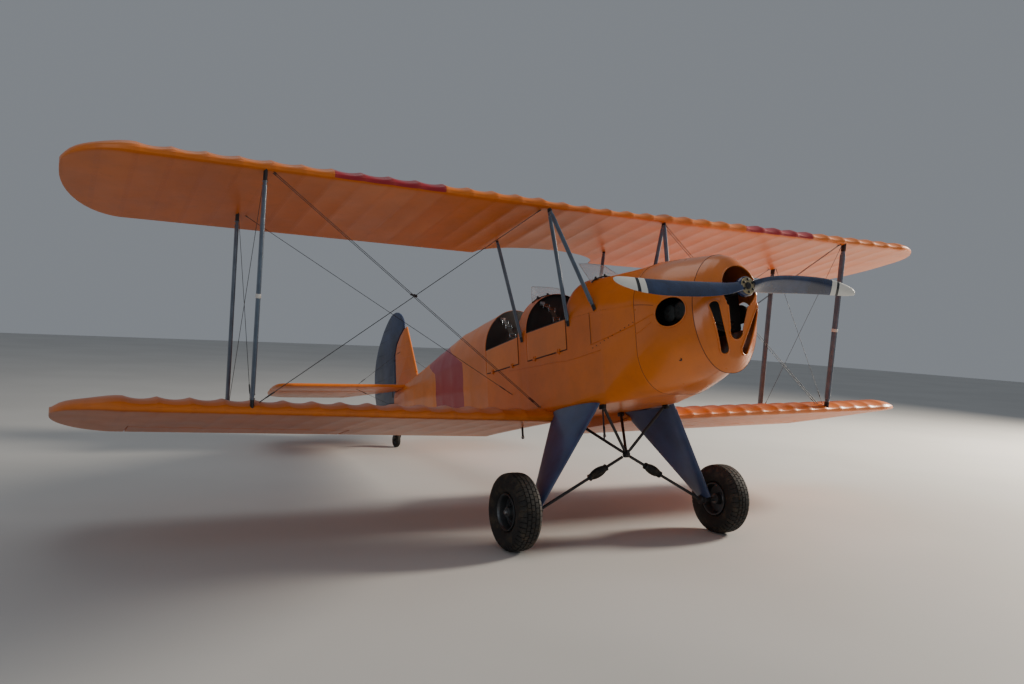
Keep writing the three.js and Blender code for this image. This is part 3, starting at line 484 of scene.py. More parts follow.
def ringSurface(name, rings, capped=True, closed=True):  # a skin through rings of points
    count = len(rings[0])
    columns = count if closed else count - 1
    piece = surface(name, columns, len(rings) - 1, lambda column, row: rings[row][column % count])
    tidyMesh(piece, False)
    if capped:
        edit(piece, True)
        bpy.ops.mesh.fill_holes(sides=0)
        bpy.ops.mesh.select_all(action="SELECT")
        bpy.ops.mesh.normals_make_consistent(inside=False)
        leaveEdit()
    return piece


def faceOutwards(piece, middle):  # turns an open skin so that it faces away from a middle point
    mesh = piece.data
    facing = sum(face.normal.dot(face.center - Vector(middle)) * face.area for face in mesh.polygons)
    if facing < 0:
        edit(piece, True)
        bpy.ops.mesh.flip_normals()
        leaveEdit()
    return piece


def bead(finish, points, radius, closed=False, corners=2):  # a round bead or wire through points
    curve = bpy.data.curves.new("bead", "CURVE")
    curve.dimensions = "3D"
    curve.bevel_depth = radius
    curve.bevel_resolution = corners
    curve.use_fill_caps = True
    line = curve.splines.new("POLY")
    line.points.add(len(points) - 1)
    for stop, place in zip(line.points, points):
        stop.co = (*place, 1)
    line.use_cyclic_u = closed
    piece = bpy.data.objects.new("bead", curve)
    bpy.context.scene.collection.objects.link(piece)
    choose(piece)
    bpy.ops.object.convert(target="MESH")
    piece = bpy.context.object
    tidyMesh(piece)
    return paintPiece(piece, finish)


def slab(low, high):
    startModelling()
    bpy.ops.mesh.primitive_cube_add(size=1, location=[(a + b) / 2 for a, b in zip(low, high)])
    piece = bpy.context.object
    piece.scale = [b - a for a, b in zip(low, high)]
    applyPlace(piece)
    return piece


def bar(finish, low, high, bevel=0.002):  # a slab with softened edges between any two opposite corners
    piece = slab([min(pair) for pair in zip(low, high)], [max(pair) for pair in zip(low, high)])
    if bevel:
        modify(piece, "BEVEL", width=bevel, segments=2)
    return paintPiece(piece, finish)


def cutAway(piece, *cutters):  # cuts closed shapes out of a piece and removes them
    for cutter in cutters:
        modify(piece, "BOOLEAN", operation="DIFFERENCE", object=cutter, solver="EXACT")
        bpy.data.objects.remove(cutter)
    return piece


def stations(start, end, count):
    return [start + (end - start) * i / count for i in range(count + 1)]


def turns(count):  # angles at even steps once round
    return [2 * math.pi * i / count for i in range(count)]


def smoothBetween(table, x):  # values of a table whose first column falls, drawn as a smooth curve
    i = next((i for i, row in enumerate(table[1:]) if row[0] <= x), len(table) - 2)
    before, after = table[i:i + 2]
    earlier = table[i - 1] if i > 0 else before
    later = table[i + 2] if i + 2 < len(table) else after
    gap = after[0] - before[0]
    t = (x - before[0]) / gap
    values = []
    for k in range(1, len(before)):
        slopeIn = (after[k] - earlier[k]) / (after[0] - earlier[0])
        slopeOut = (later[k] - before[k]) / (later[0] - before[0])
        values.append(
            (2 * t ** 3 - 3 * t ** 2 + 1) * before[k] + (t ** 3 - 2 * t ** 2 + t) * gap * slopeIn
            + (-2 * t ** 3 + 3 * t ** 2) * after[k] + (t ** 3 - t ** 2) * gap * slopeOut)
    return values


def lineInside(piece, finish, test):  # gives the faces that pass the test a second finish
    piece.data.materials.append(finishes[finish])
    pick(piece, "faces", test)
    piece.active_material_index = len(piece.data.materials) - 1
    bpy.ops.object.material_slot_assign()
    leaveEdit()


def facesIn(middle, normal):  # on the inner side of the body's walls and decks
    return normal.y * middle.y + normal.z * (middle.z - 1.15) < -0.02


# camera, floor and light, all from the middle of the axle line
view = {
    "place": (axleX + 5.230, -3.847, 1.557), "yaw": 151.60, "pitch": -1.08, "roll": 2.91, "lens": 30.48,
    "floor": 80.0,
    "keyPower": 3600, "fillPower": 170, "topPower": 150, "skyStrength": 0.31,
}


def makeView():
    camera = bpy.data.cameras.new("camera")
    camera.sensor_width = 36
    camera.lens = view["lens"]
    camera.clip_end = 300
    seer = bpy.data.objects.new("camera", camera)
    bpy.context.scene.collection.objects.link(seer)
    yaw, pitch, roll = (math.radians(view[key]) for key in ("yaw", "pitch", "roll"))
    ahead = Vector((math.cos(yaw) * math.cos(pitch), math.sin(yaw) * math.cos(pitch), math.sin(pitch)))
    right = Vector((math.sin(yaw), -math.cos(yaw), 0))
    up = right.cross(ahead)
    rolledRight = right * math.cos(roll) + up * math.sin(roll)
    rolledUp = up * math.cos(roll) - right * math.sin(roll)
    turn = Matrix((rolledRight, rolledUp, -ahead)).transposed().to_4x4()
    seer.matrix_world = Matrix.Translation(view["place"]) @ turn
    bpy.context.scene.camera = seer


def makeFloor():
    startModelling()
    bpy.ops.mesh.primitive_plane_add(size=view["floor"], location=(0, 0, 0))
    floor = bpy.context.object
    floor.name = "floor"
    finish = Finish("floorFinish", Roughness=0.75)
    point = finish.point()
    tone = finish.soft(finish.noise(point, 0.4, 3), 0.3, 0.7)
    finish.feed(Base_Color=finish.mix(tone, rgb(190, 189, 186), rgb(197, 196, 193)))
    floor.data.materials.append(finish.material)


def addLight(name, place, target, size, power, colour):
    lamp = bpy.data.lights.new(name, "AREA")
    lamp.shape = "DISK"
    lamp.size = size
    lamp.energy = power
    lamp.color = colour
    holder = bpy.data.objects.new(name, lamp)
    holder.location = place
    holder.rotation_euler = (Vector(target) - Vector(place)).to_track_quat("-Z", "Y").to_euler()
    bpy.context.scene.collection.objects.link(holder)


def makeLight():
    world = bpy.data.worlds.new("studio")
    world.use_nodes = True
    backdrop = world.node_tree.nodes["Background"]
    backdrop.inputs["Color"].default_value = rgb(216, 224, 234)
    backdrop.inputs["Strength"].default_value = view["skyStrength"]
    bpy.context.scene.world = world
    addLight("keyLight", (2, 14, 6), (1, 0, 1), 3, view["keyPower"], (1, 0.9, 0.76))
    addLight("fillLight", (10, -10, 4), (1, 0, 1.2), 7, view["fillPower"], (0.92, 0.95, 1))
    addLight("topLight", (-2, -2, 11), (0, 0, 1), 8, view["topPower"], (1, 0.98, 0.95))


makeView()
makeFloor()
makeLight()
print("camera, floor and light set")


# share of the chord, upper height and lower height, as shares of the chord
aerofoil = (
    (1.00, 0.006, 0.0), (0.85, 0.038, 0.0), (0.70, 0.066, 0.0), (0.55, 0.088, 0.0), (0.40, 0.102, 0.0),
    (0.25, 0.106, 0.0), (0.15, 0.099, 0.0), (0.10, 0.088, 0.0), (0.06, 0.075, 0.0), (0.026, 0.056, 0.0005),
    (0.012, 0.047, 0.004), (0.004, 0.037, 0.011), (0.000, 0.024, 0.024),
)
wings = {
    "upper": {"noseX": 0.10, "underZ": 2.209, "rise": 0.006, "rootY": 0.0, "cutHalf": 0.6, "cutDepth": 0.28},
    "lower": {"noseX": -0.32, "underZ": 0.638, "rise": 0.028, "rootY": 0.33, "cutHalf": 0, "cutDepth": 0},
}
aileronLook = {"inner": 1.7, "outer": 3.3, "hinge": -1.275, "gap": 0.008, "radius": 0.02025}


def wingEdges(wing, y):
    far = max(0.0, (y - wingLook["lastRib"]) / (wingLook["halfSpan"] - wingLook["lastRib"]))
    fall = 1 - math.sqrt(max(0.0, 1 - far * far))
    chord, peak = wingLook["chord"], wingLook["tipPeak"]
    tail = wing["noseX"] - chord + (1 - peak) * chord * fall * 0.93
    nose = wing["noseX"] - peak * chord * fall * 0.93
    if y < wing["cutHalf"]:
        tail += wing["cutDepth"] * math.sqrt(1 - (y / wing["cutHalf"]) ** 2)
    return nose, tail


def clothSag(y):  # how far between two ribs: 0 at a rib, 1 midway
    if y >= wingLook["lastRib"]:
        far = (y - wingLook["lastRib"]) / (wingLook["halfSpan"] - wingLook["lastRib"])
        return 0.8 * math.sin(math.pi * min(1, far)) ** 2
    part = (y / wingLook["ribPitch"]) % 1
    return 1 - (2 * part - 1) ** 2


def wingPoint(wing, side, y, share, upper):
    nose, tail = wingEdges(wing, y)
    chord = nose - tail
    thick = max(chord, wingLook["chord"] * 0.34)
    over, under = smoothBetween(aerofoil, share)
    sagging = clothSag(y) * wingLook["sag"]
    base = wing["underZ"] + wing["rise"] * y + max(0, y - wingLook["lastRib"]) * 0.05
    x = nose - share * chord
    if upper:
        depth = math.sin(math.pi * min(1, share * 1.25 + 0.16)) ** 0.7 if 0 < share < 1 else 0
        height = over * thick - sagging * depth
        x -= sagging * 0.35 * max(0, 1 - share / 0.06)
    else:
        height = under * thick + 0.35 * sagging * math.sin(math.pi * min(1, share)) ** 0.5
        x -= sagging * 0.35 * max(0, 1 - share / 0.06)
    return Vector((x, side * y, base + height - (wing["noseX"] - x) * wingLook["drop"]))


def shares(count):  # close together at the nose, wider apart aft
    return [(i / count) ** 2.1 for i in range(count + 1)]


def wingRows(wing, inner=None, outer=None, steps=8):
    rows = [inner if inner is not None else wing["rootY"]]
    pitch = wingLook["ribPitch"] / steps
    y = (math.floor(rows[0] / pitch + 1e-6) + 1) * pitch
    last = outer if outer is not None else wingLook["lastRib"]
    while y < last - 1e-6:
        rows.append(y)
        y += pitch
    rows.append(last)
    if outer is None:
        rows += [3.4 + 0.4 * far for far in (0.1, 0.22, 0.34, 0.46, 0.58, 0.69, 0.79, 0.87, 0.93, 0.97, 0.99, 1.0)]
    return rows


def makeWing(level, sideName, side):
    wing = wings[level]
    rows = [(y, False) for y in wingRows(wing)]
    if level == "lower":
        low, high = aileronLook["inner"] - aileronLook["gap"], aileronLook["outer"] + aileronLook["gap"]
        rows = [(y, low < y < high) for y, _ in rows]
        rows += [(low, False), (low + 1e-4, True), (high - 1e-4, True), (high, False)]
        rows = sorted(set(rows))
    coveX = aileronLook["hinge"] + aileronLook["radius"] + aileronLook["gap"]
    over, under = shares(30), shares(22)

    def placeAt(column, row):
        y, cut = rows[row]
        nose, tail = wingEdges(wing, y)
        reach = (nose - coveX) / (nose - tail) if cut else 1.0
        column %= len(over) + len(under)
        if column < len(over):
            return wingPoint(wing, side, y, over[len(over) - 1 - column] * reach, True)
        return wingPoint(wing, side, y, under[column - len(over)] * reach, False)

    name = f"{level}Wing{sideName.title()}"
    piece = surface(name, len(over) + len(under), len(rows) - 1, placeAt)
    tidyMesh(piece)
    rootY, tipY = rows[0][0], rows[-1][0]
    closeEnds(piece, lambda p: abs(abs(p.y) - rootY) < 1e-4, lambda p: abs(abs(p.y) - tipY) < 1e-4)
    tidyMesh(piece)
    paintPiece(piece, f"{level}Wing")
    finishPiece(piece, f"{level}_wing_{sideName}", angle=32)


def makeAileron(sideName, side):
    wing = wings["lower"]
    inner, outer = aileronLook["inner"], aileronLook["outer"]
    rows = wingRows(wing, inner, outer)
    hinge, radius = aileronLook["hinge"], aileronLook["radius"]
    flat = 14
    bend = 12

    def placeAt(column, row):
        y = rows[row]
        nose, tail = wingEdges(wing, y)
        start = (nose - hinge) / (nose - tail)
        column %= 2 * flat + bend + 2
        if column <= flat:  # over the top, from the trailing edge
            return wingPoint(wing, side, y, start + (1 - start) * (1 - column / flat), True)
        if column <= flat + bend:  # round the nose
            top = wingPoint(wing, side, y, start, True)
            bottom = wingPoint(wing, side, y, start, False)
            middle, half = (top + bottom) / 2, (top.z - bottom.z) / 2
            turn = math.pi * (column - flat) / (bend + 1)
            return middle + Vector((math.sin(turn) * radius, 0, math.cos(turn) * half))
        step = column - flat - bend - 1
        return wingPoint(wing, side, y, start + (1 - start) * step / flat, False)

    piece = surface(f"aileron{sideName.title()}", 2 * flat + bend + 2, len(rows) - 1, placeAt)
    tidyMesh(piece)
    closeEnds(piece, lambda p: abs(abs(p.y) - inner) < 1e-4, lambda p: abs(abs(p.y) - outer) < 1e-4)
    tidyMesh(piece)
    paintPiece(piece, "lowerWing")
    finishPiece(piece, f"aileron_{sideName}", f"aileron_{sideName}", 32)


for sideName, side in sides:
    makeWing("upper", sideName, side)
    makeWing("lower", sideName, side)
    makeAileron(sideName, side)
print("wings made")


# fuselage: x, half width, bottom, sill, top, corner width, corner height, from the cowl seam to the stern
hull = (
    (1.250, 0.268, 0.850, 1.212, 1.590, 0.250, 0.362), (1.133, 0.300, 0.822, 1.240, 1.610, 0.270, 0.380),
    (0.980, 0.335, 0.780, 1.290, 1.637, 0.280, 0.380), (0.750, 0.347, 0.738, 1.340, 1.667, 0.240, 0.300),
    (0.350, 0.350, 0.722, 1.385, 1.696, 0.070, 0.080), (-0.110, 0.350, 0.720, 1.410, 1.750, 0.045, 0.045),
    (-0.730, 0.350, 0.720, 1.410, 1.768, 0.045, 0.045), (-0.870, 0.349, 0.722, 1.405, 1.776, 0.045, 0.045),
    (-1.500, 0.340, 0.735, 1.385, 1.782, 0.045, 0.045), (-2.370, 0.272, 0.830, 1.372, 1.734, 0.040, 0.040),
    (-3.000, 0.218, 0.905, 1.362, 1.630, 0.035, 0.035), (-3.700, 0.150, 0.990, 1.352, 1.512, 0.030, 0.030),
    (-4.085, 0.112, 1.040, 1.345, 1.462, 0.025, 0.025), (-4.600, 0.040, 1.105, 1.300, 1.400, 0.020, 0.020),
)
body = {
    "seam": 1.25, "firewall": 0.75, "frontEdge": -0.11, "archFront": -0.73, "archRear": -0.87, "rearEdge": -1.5,
    "stern": -4.6, "doorFoot": 1.173, "wall": 0.022,
    "crease": ((0.20, 1.160), (0.52, 1.186), (0.70, 1.203), (0.745, 1.209)), "seamX": 0.214, "screwZ": 1.128,
    "chine": ((-1.067, 1.145), (-0.688, 1.125), (-0.371, 1.111), (-0.079, 1.091), (0.325, 1.102)),
}


def straightBetween(table, x):  # the same as smoothBetween, in straight steps
    i = next((i for i, row in enumerate(table[1:]) if row[0] <= x), len(table) - 2)
    before, after = table[i], table[i + 1]
    part = (x - before[0]) / (after[0] - before[0])
    return [a + (b - a) * part for a, b in zip(before[1:], after[1:])]


def sectionPoint(section, u, inset=0.0):
    # a point of a cross-section: 0 bottom middle, 1 to 2 lower corner, 3 sill, 4 top middle; minus on the right
    half, bottom, sill, top, cornerWide, cornerHigh = section
    half, bottom = half - inset, bottom + inset
    cornerWide, cornerHigh = max(cornerWide - inset, 0.004), max(cornerHigh - inset, 0.004)
    top -= inset
    side, u = (1 if u >= 0 else -1), abs(u)
    if u <= 1:
        return side * (half - cornerWide) * u, bottom
    if u <= 2:
        turn = (u - 1) * math.pi / 2
        return (side * (half - cornerWide + cornerWide * math.sin(turn)),
                bottom + cornerHigh * (1 - math.cos(turn)))
    if u <= 3:
        return side * half, bottom + cornerHigh + (sill - bottom - cornerHigh) * (u - 2)
    turn = (u - 3) * math.pi / 2
    return side * half * math.cos(turn), sill + (top - sill) * math.sin(turn)


def hullPoint(x, u, inset=0.0):
    y, z = sectionPoint(straightBetween(hull, x), u, inset)
    return Vector((x, y, z))


def clothDip(x, u, frames, depth=0.004):  # cloth drawn in between frames and stringers
    edges = sorted(frames)
    before = max((e for e in edges if e <= x), default=None)
    after = min((e for e in edges if e > x), default=None)
    if before is None or after is None:
        return 0.0
    part = (x - before) / (after - before)
    lines = (0.0, 1.0, 2.0, 2.5, 3.0, 3.33, 3.66, 4.0)
    u = abs(u)
    i = max(i for i, line in enumerate(lines[:-1]) if line <= u + 1e-9)
    across = (u - lines[i]) / (lines[i + 1] - lines[i])
    return depth * (1 - (2 * part - 1) ** 4) * (1 - (2 * across - 1) ** 2)


def hullSkin(name, x0, x1, uFrom, uTo, rows, columns, inset=0.0, frames=(), depth=0.004):
    xs, us = stations(x0, x1, rows), stations(uFrom, uTo, columns)
    rings = [[hullPoint(x, u, inset + clothDip(x, u, frames, depth)) for u in us] for x in xs]
    piece = ringSurface(name, rings, capped=False, closed=False)
    middle = (x0 + x1) / 2
    return faceOutwards(piece, (middle, 0, hullPoint(middle, 2.5).z))


def makeDeck(name, node, x0, x1, frames):
    deck = hullSkin(name, x0, x1, 3.0, 4.0, 24, 14, 0, frames)
    far = hullSkin(name, x0, x1, -3.0, -4.0, 24, 14, 0, frames)
    deck = joinPieces(name, [deck, far])
    tidyMesh(deck, False)
    modify(deck, "SOLIDIFY", thickness=0.006, offset=-1, use_even_offset=True)
    soften(deck, 0.003, 50)
    paintPiece(deck, "body")
    # the deck's inner faces get the dark sheet: painted shade inside the cockpit
    lineInside(deck, "shadeLining", facesIn)
    finishPiece(deck, node)


def makeBulkhead(name, x0, x1, uFrom, inset, shadeLining):
    us = stations(-4, -uFrom, 24) + stations(uFrom, 4, 24)[:-1] if uFrom else stations(-4, 4, 96)[:-1]
    wall = ringSurface(name, [[hullPoint(x, u, inset if abs(u) < 3 else shadeLining) for u in us] for x in (x0, x1)])
    soften(wall, 0.003, 50)
    finishPiece(paintPiece(wall, "coaming"))


def makeStern():
    frames = (-1.5, -1.9, -2.37, -2.7, -3.0, -3.35, -3.7, -4.085, -4.6)
    xs = [x for a, b in zip(frames, frames[1:]) for x in stations(a, b, 8)[:-1]] + [frames[-1]]
    us = stations(-4, 4, 128)[:-1]
    rings = [[hullPoint(x, u, clothDip(x, u, frames, 0.005)) for u in us] for x in xs]
    stern = ringSurface("rearFuselage", rings)
    plane, thick, lead = 1.4, 0.036, -4.1
    notch = bar(None, (body["stern"] - 0.05, -0.2, plane - thick / 2 - 0.0004), (lead + 0.012, 0.2, 1.6), 0)
    cutAway(stern, notch)
    paintPiece(stern, "sternBody")
    hingePlate = rod("darkSteel", (-4.625, 0, 1.186), (-4.625, 0, 1.194), [(0, 0.011), (0.008, 0.011)], 24)
    arm = bar("darkSteel", (-4.622, -0.004, 1.186), (-4.58, 0.004, 1.194), 0.001)
    finishParts("rearFuselage", [stern, hingePlate, arm], "fuselage_rear")


doorTable = {"front": (body["archFront"], body["frontEdge"]), "rear": (body["rearEdge"] + 0.012, body["archRear"])}
doorLook = {"gap": 0.006, "thick": 0.016, "pad": 0.008, "seal": 0.0042}


def doorSkin(name, side, x0, x1, foot, inset, columns=24, rows=14):
    rings = []
    for x in stations(x0, x1, columns):
        half, _, sill = straightBetween(hull, x)[:3]
        rings.append([Vector((x, side * (half - inset), z)) for z in stations(foot, sill, rows)])
    piece = ringSurface(name, rings, capped=False, closed=False)
    return faceOutwards(piece, ((x0 + x1) / 2, 0, 1.3))


def makeDoor(place, sideName, side):
    x0, x1 = doorTable[place]
    gap = doorLook["gap"]
    name = f"door{place.title()}{sideName.title()}"
    panel = doorSkin(name, side, x0 + gap, x1 - gap, body["doorFoot"] + gap, 0.0)
    modify(panel, "SOLIDIFY", thickness=doorLook["thick"], offset=-1)
    soften(panel, 0.003, 50)
    paintPiece(panel, "door")
    # the door's inner face gets the dark sheet: painted shade inside the cockpit
    lineInside(panel, "shadeLining", lambda middle, normal: normal.y * side < -0.7)
    rim = []
    for x in stations(x0 + gap + 0.006, x1 - gap - 0.006, 12):
        section = straightBetween(hull, x)
        rim.append((x, side * (section[0] - 0.009), section[2] + 0.001))
    edging = bead("coaming", rim, doorLook["pad"])
    foot = [(x, body["doorFoot"] + gap) for x in stations(x0 + gap, x1 - gap, 8)]
    corner = (x1 - gap, straightBetween(hull, x1)[2] - 0.004)
    outline = [(x, side * (straightBetween(hull, x)[0] - 0.001), z) for x, z in (*foot, corner)]
    parts = [panel, edging, bead("gapLine", outline, doorLook["seal"])]
    for share in (0.2, 0.8):
        x = x0 + (x1 - x0) * share
        y = side * (straightBetween(hull, x)[0] + 0.006)
        for start, end in ((-0.018, -0.009), (0.009, 0.018)):
            parts.append(rod("body", (x + start, y, 1.174), (x + end, y, 1.174), [(0, 0.0058), (0.009, 0.0058)], 12))
            parts.append(bar("body", (x + start, y, 1.174), (x + end, y - side * 0.005, 1.2), 0.0008))
        parts.append(rod("body", (x - 0.018, y, 1.174), (x + 0.018, y, 1.174), [(0, 0.003), (0.036, 0.003)], 10))
    finishParts(name, parts, f"door_{place}_{sideName}", f"door_{place}_{sideName}")


def sideLine(places, side, radius, finish):  # a bead on the body's side through points in x and z
    lookUp = straightBetween if places[0][0] < body["firewall"] - 0.001 else smoothBetween
    points = [(x, side * (lookUp(hull, x)[0] + 0.0004), z) for x, z in places]
    return bead(finish, points, radius)


def makeSideLines(side):
    lines = [
        sideLine([p for p in body["crease"] if p[0] < body["firewall"] - 0.002], side, 0.0028, "body"),
        sideLine(body["chine"], side, 0.0034, "body"),
        sideLine([(body["seamX"], z) for z in (1.158, 1.24, 1.32, 1.395)], side, 0.0018, "gapLine")]
    for x in stations(body["seamX"] + 0.02, body["firewall"] - 0.02, 10):
        y = side * straightBetween(hull, x)[0]
        z = body["screwZ"] + 0.19 * (x - body["seamX"])
        lines.append(rod("darkSteel", (x, y - side * 0.001, z), (x, y + side * 0.0018, z), [
            (0, 0.0045), (0.0018, 0.004), (0.0028, 0.002)], 8))
    return lines


def makeShell():
    frames = (-1.5, -0.87, -0.73, -0.11, 0.35, 0.75)
    shell = hullSkin("cockpitShell", body["firewall"], body["rearEdge"], -3.0, 3.0, 90, 96, 0, frames, 0.003)
    modify(shell, "SOLIDIFY", thickness=body["wall"] - 0.004, offset=-1)
    cutters = []
    for x0, x1 in doorTable.values():
        cutters.append(bar(None, (x0, -0.6, body["doorFoot"]), (x1, 0.6, 1.6), 0))
    cutAway(shell, *cutters)
    soften(shell, 0.002, 60)
    paintPiece(shell, "body")
    # the shell's inner faces get the dark sheet: painted shade inside the cockpit
    lineInside(shell, "shadeLining", facesIn)
    parts = [shell]
    for x0, x1 in doorTable.values():
        for share in (0.2, 0.8):
            x = x0 + (x1 - x0) * share
            for side in (-1, 1):
                y = side * (straightBetween(hull, x)[0] + 0.006)
                parts.append(rod("body", (x - 0.007, y, 1.174), (x + 0.007, y, 1.174),
                    [(0, 0.0058), (0.014, 0.0058)], 12))
                parts.append(bar("body", (x - 0.007, y, 1.158), (x + 0.007, y - side * 0.008, 1.17), 0.0008))
    for _, side in sides:
        parts += makeSideLines(side)
    finishParts("cockpitShell", parts, "fuselage_shell")


makeDeck("frontDeck", "deck_front", body["firewall"], body["frontEdge"], (-0.11, 0.35, 0.75))
makeDeck("middleDeck", "deck_middle", body["archFront"], body["archRear"], (-0.87, -0.73))
makeBulkhead("archBulkhead", -0.790, -0.774, 3.0, 0.008, 0.008)
makeBulkhead("rearLining", -1.4995, -1.492, 0, 0.0225, 0.004)
makeStern()
makeShell()
for place in doorTable:
    for sideName, side in sides:
        makeDoor(place, sideName, side)
print("fuselage made")


# engine cowling and nose bowl
# share of the way to the face, half width, bottom, sill, top, corner width, corner height
bowl = (
    (0.00, 0.268, 0.815, 1.212, 1.590, 0.250, 0.397), (0.35, 0.236, 0.830, 1.227, 1.574, 0.222, 0.397),
    (0.65, 0.202, 0.848, 1.246, 1.550, 0.192, 0.398), (0.88, 0.171, 0.870, 1.275, 1.521, 0.163, 0.400),
    (1.00, 0.155, 0.892, 1.310, 1.497, 0.148, 0.400),
)
cowl = {
    "throatZ": 1.342, "face": 1.385, "rakeFrom": 1.300, "rake": 0.22, "sheet": 0.004, "throat": 0.143, "lip": 0.0055,
    "mouth": ((0.0, 1.270, 0.100), (0.0, 1.074, 0.058)), "cheek": ((0.180, 1.229, 0.025), (0.084, 0.958, 0.033)),
    "hole": {"x": 1.081, "z": 1.230, "long": 0.123, "high": 0.097}, "holeLip": 0.005,
    "creases": (((0.752, 1.210), (0.87, 1.230), (0.945, 1.242)), ((0.752, 1.143), (0.805, 1.152), (0.919, 1.192))),
    "vent": (1.062, 0.927),
}


def bowlPoint(share, u, inset=0.0, shrink=1.0):
    section = straightBetween([(-row[0], *row[1:]) for row in bowl], -min(share, 1))
    y, z = sectionPoint(section, u, inset)
    y, z = y * shrink, 1.22 + (z - 1.22) * shrink
    face = cowl["face"] - cowl["rake"] * max(0, cowl["rakeFrom"] - z)
    return Vector((body["seam"] + share * (face - body["seam"]), y, z))


def bowlX(y, z):  # how far forward the bowl's skin is over a point of its face
    low, high = 0.0, 1.0
    for _ in range(24):
        share = (low + high) / 2
        section = straightBetween([(-row[0], *row[1:]) for row in bowl], -share)
        half, bottom, sill, top, wide, tall = section
        if z > sill:
            reach = half * math.sqrt(max(0, 1 - ((z - sill) / (top - sill)) ** 2)) if z < top else -1
        elif z < bottom + tall:
            drop = (bottom + tall - z) / tall
            reach = half - wide + wide * math.sqrt(1 - drop * drop) if drop < 1 else -1
        else:
            reach = half
        low, high = (share, high) if reach > abs(y) else (low, share)
    face = cowl["face"] - cowl["rake"] * max(0, cowl["rakeFrom"] - z)
    return body["seam"] + low * (face - body["seam"])


def slotOutline(top, bottom, count=40):  # points in y and z round a slot with two round ends
    (y1, z1, r1), (y2, z2, r2) = top, bottom
    heading = math.atan2(z1 - z2, y1 - y2)
    spread = math.acos((r2 - r1) / math.hypot(y1 - y2, z1 - z2))
    points = []
    for middleY, middleZ, radius, start, end in (
            (y1, z1, r1, heading - (math.pi - spread), heading + (math.pi - spread)),
            (y2, z2, r2, heading + (math.pi - spread), heading + (math.pi + spread))):
        for i in range(count // 2 + 1):
            turn = start + (end - start) * i / (count // 2)
            points.append((middleY + radius * math.cos(turn), middleZ + radius * math.sin(turn)))
    return points


def evenly(points, gap=0.006):  # the same closed outline with points at even gaps
    laid = []
    for (y0, z0), (y1, z1) in zip(points, points[1:] + points[:1]):
        steps = max(1, round(math.hypot(y1 - y0, z1 - z0) / gap))
        laid += [(y0 + (y1 - y0) * i / steps, z0 + (z1 - z0) * i / steps) for i in range(steps)]
    return laid


def prism(name, outline, x0, x1):  # an outline in y and z drawn out along x
    return ringSurface(name, [[Vector((x, y, z)) for y, z in outline] for x in (x0, x1)])


def makeBowl():
    us = stations(-4, 4, 160)[:-1]
    rings = [[bowlPoint(share, u) for u in us] for share in stations(0, 1, 20)]
    rings += [[bowlPoint(1 + extra, u, 0, shrink) for u in us] for extra, shrink in ((0.03, 0.975), (0.045, 0.93))]
    rings += [[bowlPoint(1.045, u, 0, shrink) for u in us] for shrink in (0.7, 0.4, 0.0)]
    skin = ringSurface("noseBowl", rings, capped=False)
    faceOutwards(skin, (1.25, 0, 1.22))
    modify(skin, "SOLIDIFY", thickness=cowl["sheet"], offset=-1)
    outlines = {
        "throat": [
            (cowl["throat"] * math.cos(t), cowl["throatZ"] + cowl["throat"] * math.sin(t))
            for t in turns(72)],
        "mouth": slotOutline(*cowl["mouth"]),
        "cheekLeft": slotOutline(*cowl["cheek"]),
        "cheekRight": slotOutline(*[(-y, z, r) for y, z, r in cowl["cheek"]]),
    }
    cutAway(skin, *[prism(f"{name}Cut", outline, 1.275, 1.5) for name, outline in outlines.items()])
    paintPiece(skin, "cowl")
    parts = [skin]
    inThroat = lambda y, z: math.hypot(y, z - cowl["throatZ"]) < cowl["throat"] - 0.002
    for name, outline in outlines.items():
        places = evenly(outline)
        if name == "mouth":  # the throat and the mouth are one opening, so their lips stop where they meet
            places = [p for p in places[len(places) // 4:] + places[:len(places) // 4] if not inThroat(*p)]
            start = max(range(len(places)), key=lambda i: math.dist(places[i], places[i - 1]))
            places = places[start:] + places[:start]
        if name == "throat":
            width = cowl["mouth"][0][2]
            places = [p for p in places if not (abs(p[0]) < width - 0.002 and p[1] < cowl["throatZ"])]
            start = max(range(len(places)), key=lambda i: math.dist(places[i], places[i - 1]))
            places = places[start:] + places[:start]
        line = [(bowlX(y, z) + 0.004, y, z) for y, z in places]
        parts.append(bead("cowl", line, cowl["lip"], name.startswith("cheek"), 3))
    seam = [bowlPoint(0.0, u) + Vector((-0.001, 0, 0)) for u in us]
    parts.append(bead("gapLine", seam, 0.0022, True, 1))
    finishParts("noseBowl", parts, "cowl_nose")


